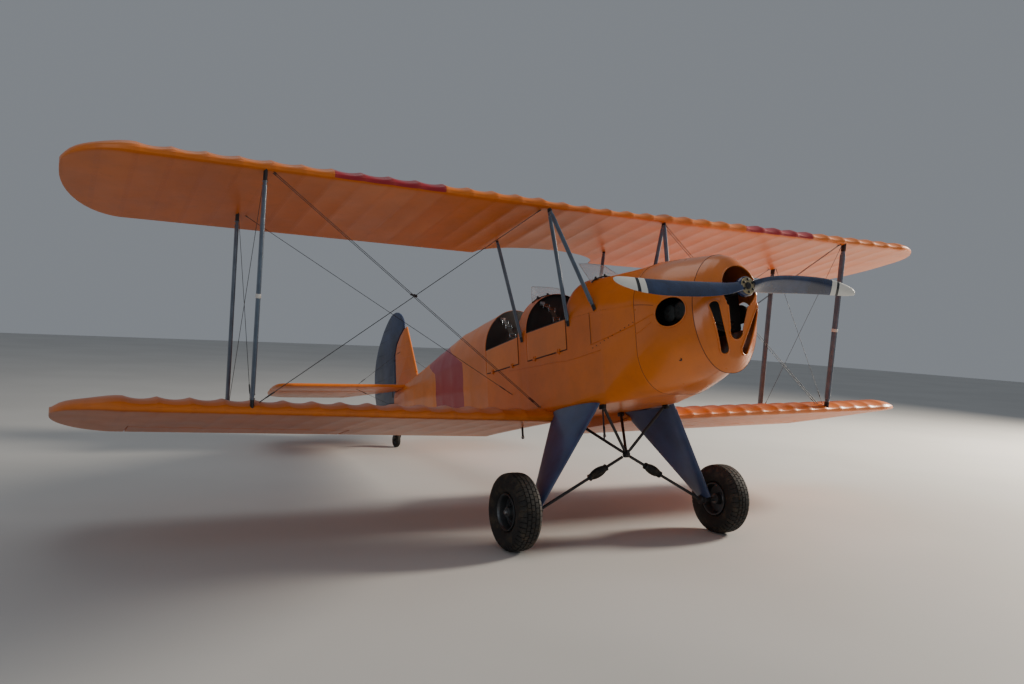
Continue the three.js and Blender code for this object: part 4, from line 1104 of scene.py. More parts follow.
def makeCowl():
    us = stations(-4, 4, 160)[:-1]
    xs = stations(body["seam"] - 0.0004, body["firewall"] + 0.0004, 40)
    rings = [[Vector((x, *sectionPoint(smoothBetween(hull, x), u))) for u in us] for x in xs]
    skin = ringSurface("engineCowl", rings, capped=False)
    faceOutwards(skin, (1.0, 0, 1.2))
    modify(skin, "SOLIDIFY", thickness=cowl["sheet"], offset=-1)
    hole = cowl["hole"]
    outline = [(hole["x"] + hole["long"] * math.cos(t), hole["z"] + hole["high"] * math.sin(t)) for t in turns(64)]
    cutter = ringSurface("holeCut", [[Vector((x, y, z)) for x, z in outline] for y in (-0.6, 0.6)])
    cutAway(skin, cutter)
    paintPiece(skin, "cowl")
    parts = [skin]
    for side in (-1, 1):
        line = []
        for x, z in outline:
            y = smoothBetween(hull, x)[0]
            section = smoothBetween(hull, x)
            if z > section[2]:
                y *= math.sqrt(1 - ((z - section[2]) / (section[3] - section[2])) ** 2)
            line.append((x, side * (y + 0.0005), z))
        parts.append(bead("cowl", line, cowl["holeLip"], True, 2))
        for places, finish, thick in (
                (stations(hole["x"] - hole["long"] - 0.012, body["firewall"], 20), "gapLine", 0.0018),
                (cowl["creases"][0], "cowl", 0.0028), (cowl["creases"][1], "cowl", 0.0028)):
            line = []
            for place in places:
                x = place[0] if isinstance(place, tuple) else place
                half, _, sill = smoothBetween(hull, x)[:3]
                line.append((x, side * (half + 0.0003), place[1] if isinstance(place, tuple) else sill))
            parts.append(bead(finish, line, thick, False, 1))
        # the vent: a raised ring round a dark face; the dark face is painted shade standing in for the inside of a
        # small hole
        vent = cowl["vent"]
        half, bottom, _, _, wide, tall = smoothBetween(hull, vent[0])
        y = half - wide + wide * math.sqrt(1 - ((bottom + tall - vent[1]) / tall) ** 2) - 0.012
        parts.append(rod("coaming", (vent[0], side * (y - 0.004), vent[1]), (vent[0], side * (y + 0.0125), vent[1]), [
            (0, 0.013), (0.015, 0.013), (0.0162, 0.011), (0.0165, 0.009), (0.010, 0.008)], 20))
    ring = [hullPoint(body["firewall"] + 0.001, u) for u in us]
    parts.append(bead("gapLine", ring, 0.0018, True, 1))
    finishParts("engineCowl", parts, "cowl_main")


makeBowl()
makeCowl()
print("cowling made")


# propeller: radius, chord, pitch in degrees, thickness, sweep off the blade's radial line
blade = (
    (0.050, 0.092, 56, 0.056, 0.006), (0.150, 0.112, 42, 0.042, 0.021), (0.300, 0.124, 33, 0.030, 0.035),
    (0.480, 0.120, 27, 0.022, 0.045), (0.680, 0.112, 21, 0.017, 0.049), (0.820, 0.096, 18, 0.013, 0.044),
    (0.910, 0.074, 16, 0.011, 0.035), (0.965, 0.052, 15, 0.009, 0.028), (0.990, 0.032, 15, 0.007, 0.024),
    (1.000, 0.014, 15, 0.005, 0.022),
)
propeller = {
    "x": 1.445, "z": 1.333, "rear": 1.420, "front": 1.470, "plate": 1.483, "boss": 0.064, "ring": 0.055,
    "bolts": 6, "boltCircle": 0.040,
}


def makePropeller():
    hubX, hubZ = propeller["x"], propeller["z"]
    parts = []
    for side in (-1, 1):
        rings = []
        for radius in [r for a, b in zip(blade, blade[1:]) for r in stations(a[0], b[0], 5)[:-1]] + [blade[-1][0]]:
            chord, pitch, thick, sweep = smoothBetween([(-row[0], *row[1:]) for row in blade], -radius)
            lean = math.radians(pitch)
            ring = []
            for turn in turns(28):
                along = math.cos(turn) * chord / 2
                across = math.sin(turn) * thick / 2 * (1 + 0.25 * math.cos(turn)) * (1.1 if math.sin(turn) > 0 else 0.7)
                ring.append(Vector((
                    hubX + along * math.sin(lean) * side + across * math.cos(lean),
                    side * radius,
                    hubZ + along * math.cos(lean) + (sweep - across * math.sin(lean)) * side)))
            rings.append(ring)
        parts.append(paintPiece(ringSurface("blade", rings), "prop"))
    length = propeller["front"] - propeller["rear"]
    parts.append(rod("prop", (propeller["rear"], 0, hubZ), (propeller["front"], 0, hubZ), [
        (0, 0.056), (0.004, 0.062), (0.010, propeller["boss"]), (length - 0.008, propeller["boss"]),
        (length, 0.058)], 40))
    front = propeller["front"]
    parts.append(rod("brass", (front - 0.002, 0, hubZ), (propeller["plate"], 0, hubZ), [
        (0, 0.053), (0.003, propeller["ring"]), (0.006, propeller["ring"]), (0.008, 0.053), (0.008, 0.030),
        (0.007, 0.028)], 40))
    for i in range(propeller["bolts"]):
        turn = 2 * math.pi * (i + 0.5) / propeller["bolts"]
        y, z = propeller["boltCircle"] * math.cos(turn), hubZ + propeller["boltCircle"] * math.sin(turn)
        parts.append(rod("darkSteel", (front + 0.005, y, z), (propeller["plate"], y, z), [
            (0, 0.0095), (0.002, 0.0095), (0.0022, 0.007), (0.0072, 0.007), (0.0079, 0.0058)], 6))
    parts.append(rod("darkSteel", (front + 0.003, 0, hubZ), (propeller["plate"], 0, hubZ), [
        (0, 0.022), (0.006, 0.022), (0.007, 0.019), (0.0085, 0.018), (0.0098, 0.014)], 24))
    finishParts("propellerBlades", parts, "propeller", body="propeller", angle=45)


makePropeller()
print("propeller made")


# wheels: half of the tyre's section, across the width and the radius, then the rim's section
tyre = {
    "y": 0.93, "blocks": 44, "groove": 0.006,
    "section": ((0.000, 0.2700), (0.030, 0.2690), (0.049, 0.2668), (0.062, 0.2630), (0.072, 0.2545), (0.081, 0.2400),
                (0.0875, 0.2200), (0.0890, 0.1980), (0.0860, 0.1750), (0.0770, 0.1520), (0.0650, 0.1360),
                (0.0540, 0.1295)),
    "across": (0.0, 0.0120, 0.0132, 0.0178, 0.0190, 0.0300, 0.0430, 0.0442, 0.0488, 0.0500, 0.0580, 0.0660, 0.0730,
               0.0790, 0.0830, 0.0860),
}
rim = (
    (-0.072, 0.1286), (-0.074, 0.124), (-0.072, 0.116), (-0.060, 0.112), (-0.014, 0.108), (-0.012, 0.104),
    (-0.012, 0.048),
    (-0.016, 0.044), (-0.056, 0.040), (-0.058, 0.037), (-0.058, 0.0166), (0.066, 0.0166), (0.066, 0.030),
    (0.062, 0.036),
    (0.050, 0.040), (0.022, 0.044), (0.014, 0.050), (0.014, 0.060), (0.019, 0.064), (0.019, 0.070), (0.013, 0.074),
    (0.013, 0.084), (0.020, 0.089), (0.020, 0.095), (0.014, 0.100), (0.016, 0.106), (0.056, 0.111), (0.070, 0.116),
    (0.075, 0.122), (0.072, 0.1286),
)


def spun(name, profile, middle, segments=64, axis="Y"):  # a closed profile of places along the axis and radii, turned
    rings = []
    for turn in turns(segments):
        if axis == "Y":
            rings.append([Vector((r * math.cos(turn), a, r * math.sin(turn))) for a, r in profile])
        else:
            rings.append([Vector((a, r * math.cos(turn), r * math.sin(turn))) for a, r in profile])
    rings.append(rings[0])
    piece = ringSurface(name, rings, capped=False)
    tidyMesh(piece)
    piece.data.transform(Matrix.Translation(middle))
    return piece


def sectionRadius(across):  # the tyre's outside radius at a place across its crown
    table = tyre["section"]
    i = next(i for i, row in enumerate(table[1:]) if row[0] >= across)
    (a0, r0), (a1, r1) = table[i], table[i + 1]
    return r0 + (r1 - r0) * (across - a0) / (a1 - a0)


def treadDepth(across, part):  # how far a place lies below the top of the lugs
    across = abs(across)
    if across > 0.0845:
        return 0.0
    if 0.0128 < across < 0.0182 or 0.0438 < across < 0.0492:
        return tyre["groove"]
    shifted = part if across < 0.0128 or across > 0.0492 else (part + 0.5) % 1
    return tyre["groove"] if 0.02 < shifted < 0.15 else 0.0


def makeTyre(sideName, side):
    crown = [(a, sectionRadius(a)) for a in tyre["across"]]
    wall = [row for row in tyre["section"] if row[0] > 0.0865 or row[1] < 0.2]
    half = crown + wall
    profile = [(-a, r) for a, r in reversed(half)] + half[1:]
    parts = (0, 0.02, 0.15, 0.17, 0.5, 0.52, 0.65, 0.67)
    rings = []
    for blockNumber in range(tyre["blocks"]):
        for part in parts:
            turn = 2 * math.pi * (blockNumber + part) / tyre["blocks"]
            ring = []
            for across, radius in profile:
                if radius > 0.225:
                    outwards = Vector((across, radius - 0.16)).normalized() * treadDepth(across, part + 0.01)
                    across, radius = across - outwards.x, radius - outwards.y
                ring.append(Vector((radius * math.cos(turn), across, radius * math.sin(turn))))
            rings.append(ring)
    rings.append(rings[0])
    piece = ringSurface(f"tyre{sideName.title()}", rings, capped=False)
    tidyMesh(piece)
    piece.data.transform(Matrix.Translation((0, side * tyre["y"], 0)))
    paintPiece(piece, "tyre")
    finishPiece(piece, f"tyre_{sideName}", f"wheel_{sideName}", 38)


def makeRim(sideName, side):
    disc = spun("disc", [(a * side, r) for a, r in rim], (0, side * tyre["y"], 0), 72)
    parts = [paintPiece(disc, "rim")]
    for i in range(6):
        turn = 2 * math.pi * i / 6
        x, z = 0.054 * math.cos(turn), 0.054 * math.sin(turn)
        start, end = side * (tyre["y"] + 0.010), side * (tyre["y"] + 0.024)
        parts.append(rod("darkSteel", (x, start, z), (x, end, z), [(0, 0.0075), (0.0128, 0.0075), (0.014, 0.006)], 6))
    parts.append(rod("tyre", (0.098, side * (tyre["y"] + 0.012), 0), (0.106, side * (tyre["y"] + 0.044), 0), [
        (0, 0.0045), (0.02, 0.0045), (0.021, 0.0055), (0.031, 0.0055), (0.032, 0.004)], 12))
    finishParts(f"rim{sideName.title()}", parts, f"rim_{sideName}", body=f"wheel_{sideName}", angle=35)


# gear: leg sections as front x, rear x, y, z and thickness, then the pyramid and the shock struts
gear = {
    "legTop": (0.254, -0.384, 0.335, 0.728, 0.060), "legFoot": (0.078, -0.062, 0.765, 0.020, 0.040),
    "knuckle": ((0.720, 0.030), (0.724, 0.034), (0.800, 0.034), (0.812, 0.028)), "axleEnd": 1.010,
    "apex": (0.070, 0.0, 0.367), "apexRadius": 0.024, "stay": 0.011, "stayTop": (0.215, -0.360), "stayY": 0.285,
    "stayZ": 0.722, "shock": 0.011, "bundle": (0.25, 0.44), "bundleRadius": 0.036, "foot": (0.0, 0.722, 0.006),
}


def legRing(front, rear, y, z, thick, side, count=44):
    ring = []
    for turn in turns(count):
        along = math.cos(turn)
        across = math.sin(turn) * thick / 2 * (1.0 + 0.22 * along)
        ring.append(Vector(((front + rear) / 2 + along * (front - rear) / 2, side * (y + across * 0.84),
            z + across * 0.54)))
    return ring


def makeLeg(sideName, side):
    rings = []
    for share in stations(0, 1, 16):
        values = [a + (b - a) * share for a, b in zip(gear["legTop"], gear["legFoot"])]
        rings.append(legRing(*values, side))
    fairing = paintPiece(ringSurface("fairing", rings), "gear")
    y0, y1 = gear["knuckle"][0][0], gear["knuckle"][-1][0]
    profile = [(y - y0, r) for y, r in gear["knuckle"]]
    knuckle = rod("darkSteel", (0, side * y0, 0), (0, side * y1, 0), profile, 32)
    stub = rod("steel", (0, side * 0.78, 0), (0, side * gear["axleEnd"], 0), [
        (0, 0.016), (0.226, 0.016), (0.230, 0.0135)], 24)
    plate = bar("darkSteel", (-0.045, side * 0.742, -0.03), (0.045, side * 0.752, 0.075), 0.003)
    front = bead("gear", [ring[0] for ring in rings[1:]], 0.0055)
    rear = bead("gear", [ring[len(ring) // 2] for ring in rings[1:]], 0.004)
    parts = [fairing, knuckle, plate, stub, front, rear]
    finishParts(f"gearLeg{sideName.title()}", parts, f"gear_leg_{sideName}")


def makePyramid():
    apex = Vector(gear["apex"])
    parts = []
    for _, side in sides:
        for x in gear["stayTop"]:
            top = Vector((x, side * gear["stayY"], gear["stayZ"]))
            length = (top - apex).length
            parts.append(rod("darkSteel", apex, top, [
                (0, 0.008), (0.03, 0.008), (0.05, gear["stay"]), (length - 0.04, gear["stay"]),
                (length - 0.025, 0.008), (length, 0.008)], 16))
            parts.append(bar("darkSteel", (x - 0.03, top.y - 0.012, 0.690), (x + 0.03, top.y + 0.012, 0.722), 0.002))
    radius = gear["apexRadius"]
    parts.append(rod("darkSteel", apex - Vector((0, 0.021, 0)), apex + Vector((0, 0.021, 0)), [
        (0, radius * 0.8), (0.003, radius), (0.039, radius), (0.042, radius * 0.8)], 28))
    parts.append(bar("darkSteel", apex - Vector((0.03, 0.012, 0.01)), apex + Vector((0.03, 0.012, 0.034)), 0.004))
    parts.append(rod("darkSteel", apex - Vector((0, 0.030, 0)), apex + Vector((0, 0.030, 0)),
        [(0, 0.009), (0.06, 0.009)], 6))
    finishParts("gearPyramid", parts, "gear_pyramid")


def makeShock(sideName, side):
    apex = Vector(gear["apex"])
    foot = Vector(gear["foot"])
    foot.y *= side
    length = (foot - apex).length
    at = lambda share: apex + (foot - apex) * share
    parts = [rod("darkSteel", at(0.05), at(0.985), [(0, gear["shock"]), (length * 0.935, gear["shock"])], 20)]
    a, b = gear["bundle"]
    run = length * (b - a)
    coils = 15
    profile = [(0, 0.012)]
    for i in range(coils):
        swell = math.sin(math.pi * (i + 0.5) / coils) ** 0.6
        radius = 0.016 + (gear["bundleRadius"] - 0.016) * swell
        start = 0.004 + (run - 0.008) * i / coils
        pitch = (run - 0.008) / coils
        profile += [(start, radius - 0.004), (start + pitch * 0.3, radius), (start + pitch * 0.7, radius)]
    profile += [(run - 0.004, 0.016), (run, 0.012)]
    parts.append(rod("bungee", at(a), at(b), profile, 28))
    for share in (a, b):
        away = (at(b) - at(a)).normalized() * 0.004
        parts.append(rod("darkSteel", at(share) - away, at(share) + away, [(0, 0.026), (0.008, 0.026)], 24))
    finishParts(f"shockStrut{sideName.title()}", parts, f"shock_strut_{sideName}", angle=35)


for sideName, side in sides:
    makeTyre(sideName, side)
    makeRim(sideName, side)
    makeLeg(sideName, side)
    makeShock(sideName, side)
makePyramid()
print("gear made")


# struts: where they stand, and their sections' lengths and thicknesses
struts = {
    "y": 2.64, "long": 0.064, "thick": 0.028, "cabaneLong": 0.044, "cabaneThick": 0.022,
    "places": (("front", 0.058, -0.362), ("rear", -0.835, -1.238)), "topLift": 0.018, "footLift": 0.026,
    "cabaneTopY": 0.545, "cabaneTopZ": 2.229, "cabaneTopX": (0.055, -0.8),
    "cabaneFootY": 0.349, "cabaneFeet": ((0.29, 1.400), (-0.078, 1.350), (-0.8, 1.350)),
}


def wingPlace(level, y, lift):  # a height over a wing's lowest line
    wing = wings[level]
    return wing["underZ"] + wing["rise"] * y + lift


def strutEnds(side, topX, footX):
    y = struts["y"]
    return [Vector((x, side * y, wingPlace(level, y, struts[lift]))) for x, level, lift in (
        (footX, "lower", "footLift"), (topX, "upper", "topLift"))]


def makeStrut(foot, top, long, thick, fitting=0.05):  # a streamlined bar with a steel fitting at each end
    foot, top = Vector(foot), Vector(top)
    length = (top - foot).length
    parts = [rod("strut", foot, top, [
        (0, long * 0.36), (fitting, long * 0.36), (fitting + 0.03, long / 2), (length - fitting - 0.03, long / 2),
        (length - fitting, long * 0.36), (length, long * 0.36)], 28, thick / long)]
    along = (top - foot).normalized()
    for start, way in ((foot, along), (top, -along)):
        for place in (fitting * 0.9, fitting + 0.02):
            at = start + way * place
            across = along.cross(Vector((1, 0, 0))).normalized() * (thick * 0.62)
            parts.append(rod("steel", at - across, at + across, [
                (0, 0.004), (0.001, 0.0055), (thick * 1.24 - 0.001, 0.0055), (thick * 1.24, 0.004)], 8))
        collar = [(0, long * 0.40), (0.004, long * 0.42), (fitting * 0.8, long * 0.42), (fitting * 0.84, long * 0.38)]
        parts.append(rod("darkSteel", start, start + way * fitting, collar, 28, (thick / long) * 1.06))
    return parts


for sideName, side in sides:
    for place, topX, footX in struts["places"]:
        parts = makeStrut(*strutEnds(side, topX, footX), struts["long"], struts["thick"], 0.09)
        name = f"wingStrut{place.title()}{sideName.title()}"
        finishParts(name, parts, f"wing_strut_{place}_{sideName}")
    feet = [(x, side * struts["cabaneFootY"], z) for x, z in struts["cabaneFeet"]]
    frontTop, rearTop = [(x, side * struts["cabaneTopY"], struts["cabaneTopZ"]) for x in struts["cabaneTopX"]]
    cabane = struts["cabaneLong"], struts["cabaneThick"]
    front = makeStrut(feet[0], frontTop, *cabane) + makeStrut(feet[1], frontTop, *cabane)
    finishParts(f"cabaneFront{sideName.title()}", front, f"cabane_front_{sideName}")
    rear = makeStrut(feet[2], rearTop, *cabane)
    finishParts(f"cabaneRear{sideName.title()}", rear, f"cabane_rear_{sideName}")
print("struts made")


# wires: the crossed pairs of the front bay, the single rear stays, the crosses between the struts, and the tail's
wires = {
    "radius": 0.0021, "spread": 0.024, "bodyX": -0.566, "bodyY": 0.345, "bodyZ": 0.779, "rodRadius": 0.007,
    "rodPast": 0.03,
    "sleeve": 0.018, "sleeveRadius": 0.011, "buckle": 0.0045,
}


def makeWire(start, end, radius=None, buckleAt=0.09):  # a wire with a turnbuckle near its first end
    radius = radius or wires["radius"]
    start, end = Vector(start), Vector(end)
    length = (end - start).length
    thick = wires["buckle"]
    profile = [
        (0, radius * 1.4), (buckleAt - 0.012, radius * 1.4), (buckleAt, thick), (buckleAt + 0.05, thick),
        (buckleAt + 0.062, radius), (length - 0.05, radius), (length - 0.045, radius * 1.8), (length, radius * 1.8)]
    return rod("wire", start, end, profile, 8)


def nearest(a0, a1, b0, b1):  # the points where two lines pass closest
    a, b, u, v = Vector(a0), Vector(b0), Vector(a1) - Vector(a0), Vector(b1) - Vector(b0)
    w = a - b
    spread = u.dot(u) * v.dot(v) - u.dot(v) ** 2
    alongA = (u.dot(v) * v.dot(w) - v.dot(v) * u.dot(w)) / spread
    alongB = (u.dot(u) * v.dot(w) - u.dot(v) * u.dot(w)) / spread
    return a + u * alongA, b + v * alongB


for sideName, side in sides:
    y = struts["y"]
    frontTopX, frontFootX = struts["places"][0][1:]
    rearTopX, rearFootX = struts["places"][1][1:]
    flying = [(frontTopX, side * (y - 0.03), wingPlace("upper", y, 0.014)),
        (wires["bodyX"], side * wires["bodyY"], wires["bodyZ"])]
    landing = [(0.010, side * 0.575, wingPlace("upper", 0, 0.014)),
        (frontFootX - 0.055, side * (y - 0.034), wingPlace("lower", y, 0.07))]
    onFlying, onLanding = nearest(*flying, *landing)
    heading = (onLanding - onFlying).normalized()
    apart = (onLanding - onFlying).length
    shifts = [Vector((shift, 0, 0)) for shift in (-wires["spread"] / 2, wires["spread"] / 2)]
    parts = [makeWire(Vector(flying[1]) + shift, Vector(flying[0]) + shift) for shift in shifts]
    start, end = onFlying - heading * wires["rodPast"], onFlying + heading * (apart + wires["rodPast"])
    parts.append(rod("darkSteel", start, end, [
        (0, 0.005), (0.003, wires["rodRadius"]), ((end - start).length - 0.003, wires["rodRadius"]),
        ((end - start).length, 0.005)], 16))
    finishParts(f"flyingWires{sideName.title()}", parts, f"flying_wires_{sideName}")
    parts = [makeWire(Vector(landing[1]) + shift, Vector(landing[0]) + shift) for shift in shifts]
    sleeve = wires["sleeve"]
    parts.append(rod("darkSteel", onLanding - heading * sleeve, onLanding + heading * sleeve, [
        (0, 0.008), (0.003, wires["sleeveRadius"]), (2 * sleeve - 0.003, wires["sleeveRadius"]),
        (2 * sleeve, 0.008)], 16))
    finishParts(f"landingWires{sideName.title()}", parts, f"landing_wires_{sideName}")
    topZ, footZ = wingPlace("upper", y, 0.0), wingPlace("lower", y, 0.07)
    single = [
        makeWire((-1.023, side * 0.342, 0.937), (rearTopX, side * (y - 0.03), wingPlace("upper", y, 0.0))),
        makeWire((rearFootX + 0.03, side * y, footZ), (frontTopX - 0.03, side * y, topZ), 0.0018),
        makeWire((frontFootX - 0.03, side * y, footZ), (rearTopX + 0.03, side * y, topZ), 0.0018),
        makeWire((-4.30, side * 0.62, 1.418), (-4.42, side * 0.012, 1.86), 0.0016),
        makeWire((-4.30, side * 0.62, 1.382), (-4.44, side * 0.055, 1.17), 0.0016),
    ]
    finishParts(f"singleWires{sideName.title()}", single)
print("wires made")


# engine: what shows through the mouth, the slots and the side holes
engine = {
    "block": ((0.751, -0.160, 1.095), (1.225, 0.160, 1.365)), "x": 1.081, "z": 1.230, "apart": 0.050, "radius": 0.064,
    "reach": 0.283, "fins": 11, "shaft": 0.032, "shaftFrom": 1.20, "shaftTo": 1.4195,
}


def makeEngine():
    parts = [bar("engine", *engine["block"], 0.02)]
    reach, fins = engine["reach"], engine["fins"]
    run = reach - 0.165
    for shift in (-engine["apart"], engine["apart"]):
        for side in (-1, 1):
            profile = [(0, engine["radius"] * 0.8)]
            for i in range(fins):
                start = 0.002 + run * 0.72 * i / fins
                profile += [(start, engine["radius"] * 0.8), (start + 0.001, engine["radius"]),
                            (start + 0.0035, engine["radius"]), (start + 0.0045, engine["radius"] * 0.8)]
            profile += [(run * 0.74, engine["radius"] * 0.78), (run * 0.76, engine["radius"] * 0.9),
                        (run * 0.92, engine["radius"] * 0.9), (run, engine["radius"] * 0.72)]
            x = engine["x"] + shift
            parts.append(rod("engine", (x, side * 0.165, engine["z"]), (x, side * reach, engine["z"]), profile, 36))
            for lift in (-0.018, 0.018):
                parts.append(rod("steel", (x, side * (reach - 0.012), engine["z"] + lift),
                    (x, side * reach, engine["z"] + lift), [
                    (0, 0.008), (0.008, 0.008), (0.0085, 0.005), (0.012, 0.005)], 6))
    parts.append(rod("engine", (engine["shaftFrom"], 0, 1.333), (engine["shaftTo"], 0, 1.333), [
        (0, 0.060), (0.045, 0.060), (0.05, engine["shaft"]), (0.200, engine["shaft"]), (0.202, 0.050),
        (0.2195, 0.050)], 32))
    for side in (-1, 1):
        for z in (1.12, 1.16):
            hose = [(1.21, side * 0.10, z), (1.235, side * 0.07, z - 0.02), (1.24, side * 0.02, z - 0.03),
                (1.225, 0.0, z - 0.03)]
            parts.append(bead("tyre", hose, 0.009, False, 3))
    finishParts("engine", parts, "engine_block")


makeEngine()
print("engine made")


# windscreens: height, x at the middle, x at the sides, half width, first at the foot and then at the top
screens = {
    "front": ((1.690, 0.085, 0.036, 0.200), (1.890, -0.185, -0.215, 0.125)),
    "rear": ((1.715, -0.775, -0.840, 0.210), (1.870, -0.925, -0.950, 0.145)),
}
screenLook = {"thick": 0.003, "edge": 0.0022, "clips": (-0.78, -0.3, 0.3, 0.78), "sunk": 0.001}


def screenPoint(name, across, share):  # across from -1 on the right to 1 on the left
    foot, top = screens[name]
    z, midX, sideX, half = [a + (b - a) * share for a, b in zip(foot, top)]
    return Vector((midX + (sideX - midX) * abs(across) ** 2.2, half * across, z))


def deckHeight(x, y):
    half, _, sill, top = straightBetween(hull, x)[:4]
    return sill + (top - sill) * math.sqrt(max(0, 1 - (y / half) ** 2))


def screenFoot(name, across):  # how far up the pane the deck cuts it
    low, high = -0.6, 0.9
    for _ in range(24):
        share = (low + high) / 2
        p = screenPoint(name, across, share)
        low, high = (share, high) if p.z < deckHeight(p.x, p.y) + screenLook["sunk"] else (low, share)
    return low


def makeScreen(name):
    acrosses = stations(-1, 1, 28)
    rings = []
    for across in acrosses:
        foot = screenFoot(name, across)
        rings.append([screenPoint(name, across, foot + (1 - foot) * share) for share in stations(0, 1, 14)])
    pane = ringSurface("pane", rings, capped=False, closed=False)
    faceOutwards(pane, (-1.5, 0, 1.7))
    modify(pane, "SOLIDIFY", thickness=screenLook["thick"], offset=-1)
    parts = [paintPiece(pane, "glass")]
    border = [ring[0] for ring in rings] + rings[-1][1:] + [ring[-1] for ring in rings[::-1]][1:] + rings[0][::-1][1:-1]
    foot = [ring[0] + Vector((0.002, 0, 0.0035)) for ring in rings]
    parts.append(bead("coaming", foot, 0.0042))
    parts.append(bead("glassEdge", border, screenLook["edge"], True, 1))
    for across in screenLook["clips"]:
        p = screenPoint(name, across, screenFoot(name, across))
        parts.append(bar("darkSteel", (p.x - 0.004, p.y - 0.013, p.z - 0.002),
            (p.x + 0.024, p.y + 0.013, p.z + 0.007), 0.001))
        parts.append(rod("steel", (p.x + 0.014, p.y, p.z + 0.006), (p.x + 0.014, p.y, p.z + 0.0105), [
            (0, 0.005), (0.003, 0.0045), (0.0045, 0.002)], 10))
        parts.append(bar("darkSteel", (p.x + 0.001, p.y - 0.010, p.z), (p.x + 0.005, p.y + 0.010, p.z + 0.022),
            0.001))
    finishParts(f"windscreen{name.title()}", parts, f"windscreen_{name}")


for name in screens:
    makeScreen(name)
print("windscreens made")


# cockpits: seat frames and pads, harness, panels, sticks; each row is where the seat's back and its lining stand
seats = {"front": (-0.700, -0.773), "rear": (-1.460, -1.491)}
seatLook = {
    "half": 0.205, "floor": 0.742, "panZ": 1.010, "backTop": 1.470, "padHigh": 0.058, "padDeep": 0.052,
}


def softPad(low, high, crown, tilt):
    # a cushion: a rounded slab, puffed by the cloth solver and drawn in at its sewn channels
    middle = [(a + b) / 2 for a, b in zip(low, high)]
    pad = slab(low, high)
    modify(pad, "BEVEL", width=min(b - a for a, b in zip(low, high)) * 0.3, segments=3)
    modify(pad, "REMESH", mode="VOXEL", voxel_size=0.0065)
    thin = min(range(3), key=lambda axis: high[axis] - low[axis])
    along = max((axis for axis in range(3) if axis != 1 and axis != thin), key=lambda axis: high[axis] - low[axis])
    start = [point.co.copy() for point in pad.data.vertices]
    cloth = pad.modifiers.new("Cloth", "CLOTH")
    cloth.settings.use_pressure = True
    cloth.settings.uniform_pressure_force = 4
    cloth.settings.effector_weights.gravity = 0
    cloth.settings.tension_stiffness = 15
    cloth.settings.bending_stiffness = 0.5
    for number in range(1, 21):
        bpy.context.scene.frame_set(number)
    choose(pad)
    bpy.ops.object.modifier_apply(modifier="Cloth")
    bpy.context.scene.frame_set(1)
    length = high[along] - low[along]
    for point, before in zip(pad.data.vertices, start):
        moved = point.co - before
        if moved.length > 0.014:
            point.co = before + moved * (0.014 / moved.length)
        part = (point.co[along] - low[along]) / length
        channel = abs((part * 4 + 0.5) % 1 - 0.5)
        draw = 0.006 * math.exp(-(channel / 0.05) ** 2) if 0.1 < part < 0.9 else 0
        puff = crown * max(0, 1 - ((point.co.y - middle[1]) / (high[1] - low[1]) * 2) ** 2) * max(0,
            1 - (2 * part - 1) ** 4)
        offset = point.co[thin] - middle[thin]
        if offset > 0:
            point.co[thin] += puff - draw
    modify(pad, "SUBSURF", levels=1)
    pad.data.transform(tilt)
    return paintPiece(pad, "seat")


def tiltAbout(x, z, angle):
    return Matrix.Translation((x, 0, z)) @ Matrix.Rotation(math.radians(angle), 4,
        "Y") @ Matrix.Translation((-x, 0, -z))


def makeSeat(name, backX):
    half, panZ = seatLook["half"], seatLook["panZ"]
    pipe = lambda points: bead("darkSteel", points, 0.009, False, 3)
    parts = []
    for side in (-1, 1):
        y = side * (half - 0.012)
        parts.append(pipe([
            (backX + 0.400, y, panZ + 0.020), (backX + 0.105, y, panZ), (backX + 0.052, y, panZ + 0.05),
            (backX + 0.012, y, seatLook["backTop"] - 0.02)]))
        parts.append(pipe([(backX + 0.380, y, panZ + 0.018), (backX + 0.380, y, seatLook["floor"])]))
        parts.append(pipe([(backX + 0.090, y, panZ + 0.002), (backX + 0.090, y, seatLook["floor"])]))
    for x, z in ((0.400, 0.020), (0.105, 0.0), (0.012, seatLook["backTop"] - 0.02 - panZ)):
        parts.append(pipe([(backX + x, -half + 0.012, panZ + z), (backX + x, half - 0.012, panZ + z)]))
    pan = bar("darkSteel", (backX + 0.09, -half + 0.01, panZ - 0.006), (backX + 0.41, half - 0.01, panZ + 0.004),
        0.002)
    pan.data.transform(tiltAbout(backX + 0.1, panZ, -3.5))
    back = bar("darkSteel", (backX + 0.044, -half + 0.01, panZ + 0.02),
        (backX + 0.052, half - 0.01, seatLook["backTop"]), 0.002)
    back.data.transform(tiltAbout(backX + 0.048, panZ, -5))
    finishParts(f"seatFrame{name.title()}", parts + [pan, back])

    padHigh, padDeep = seatLook["padHigh"], seatLook["padDeep"]
    base = softPad(
        (backX + 0.10, -half + 0.014, panZ + 0.003), (backX + 0.405, half - 0.014, panZ + padHigh), 0.016,
        tiltAbout(backX + 0.1, panZ, -3.5))
    rest = softPad(
        (backX + 0.053, -half + 0.014, panZ + 0.055), (backX + 0.053 + padDeep, half - 0.014, seatLook["backTop"]),
        0.014,
        tiltAbout(backX + 0.048, panZ, -5))
    pads = [base, rest]
    for line in ((
            (backX + 0.404, -half + 0.03, panZ + 0.062), (backX + 0.404, half - 0.03, panZ + 0.062)), (
            (backX + 0.072, -half + 0.03, seatLook["backTop"] + 0.001),
            (backX + 0.072, half - 0.03, seatLook["backTop"] + 0.001))):
        pads.append(bead("coaming", line, 0.0035))
    finishParts(f"seatPads{name.title()}", pads, f"seat_{name}", angle=50)


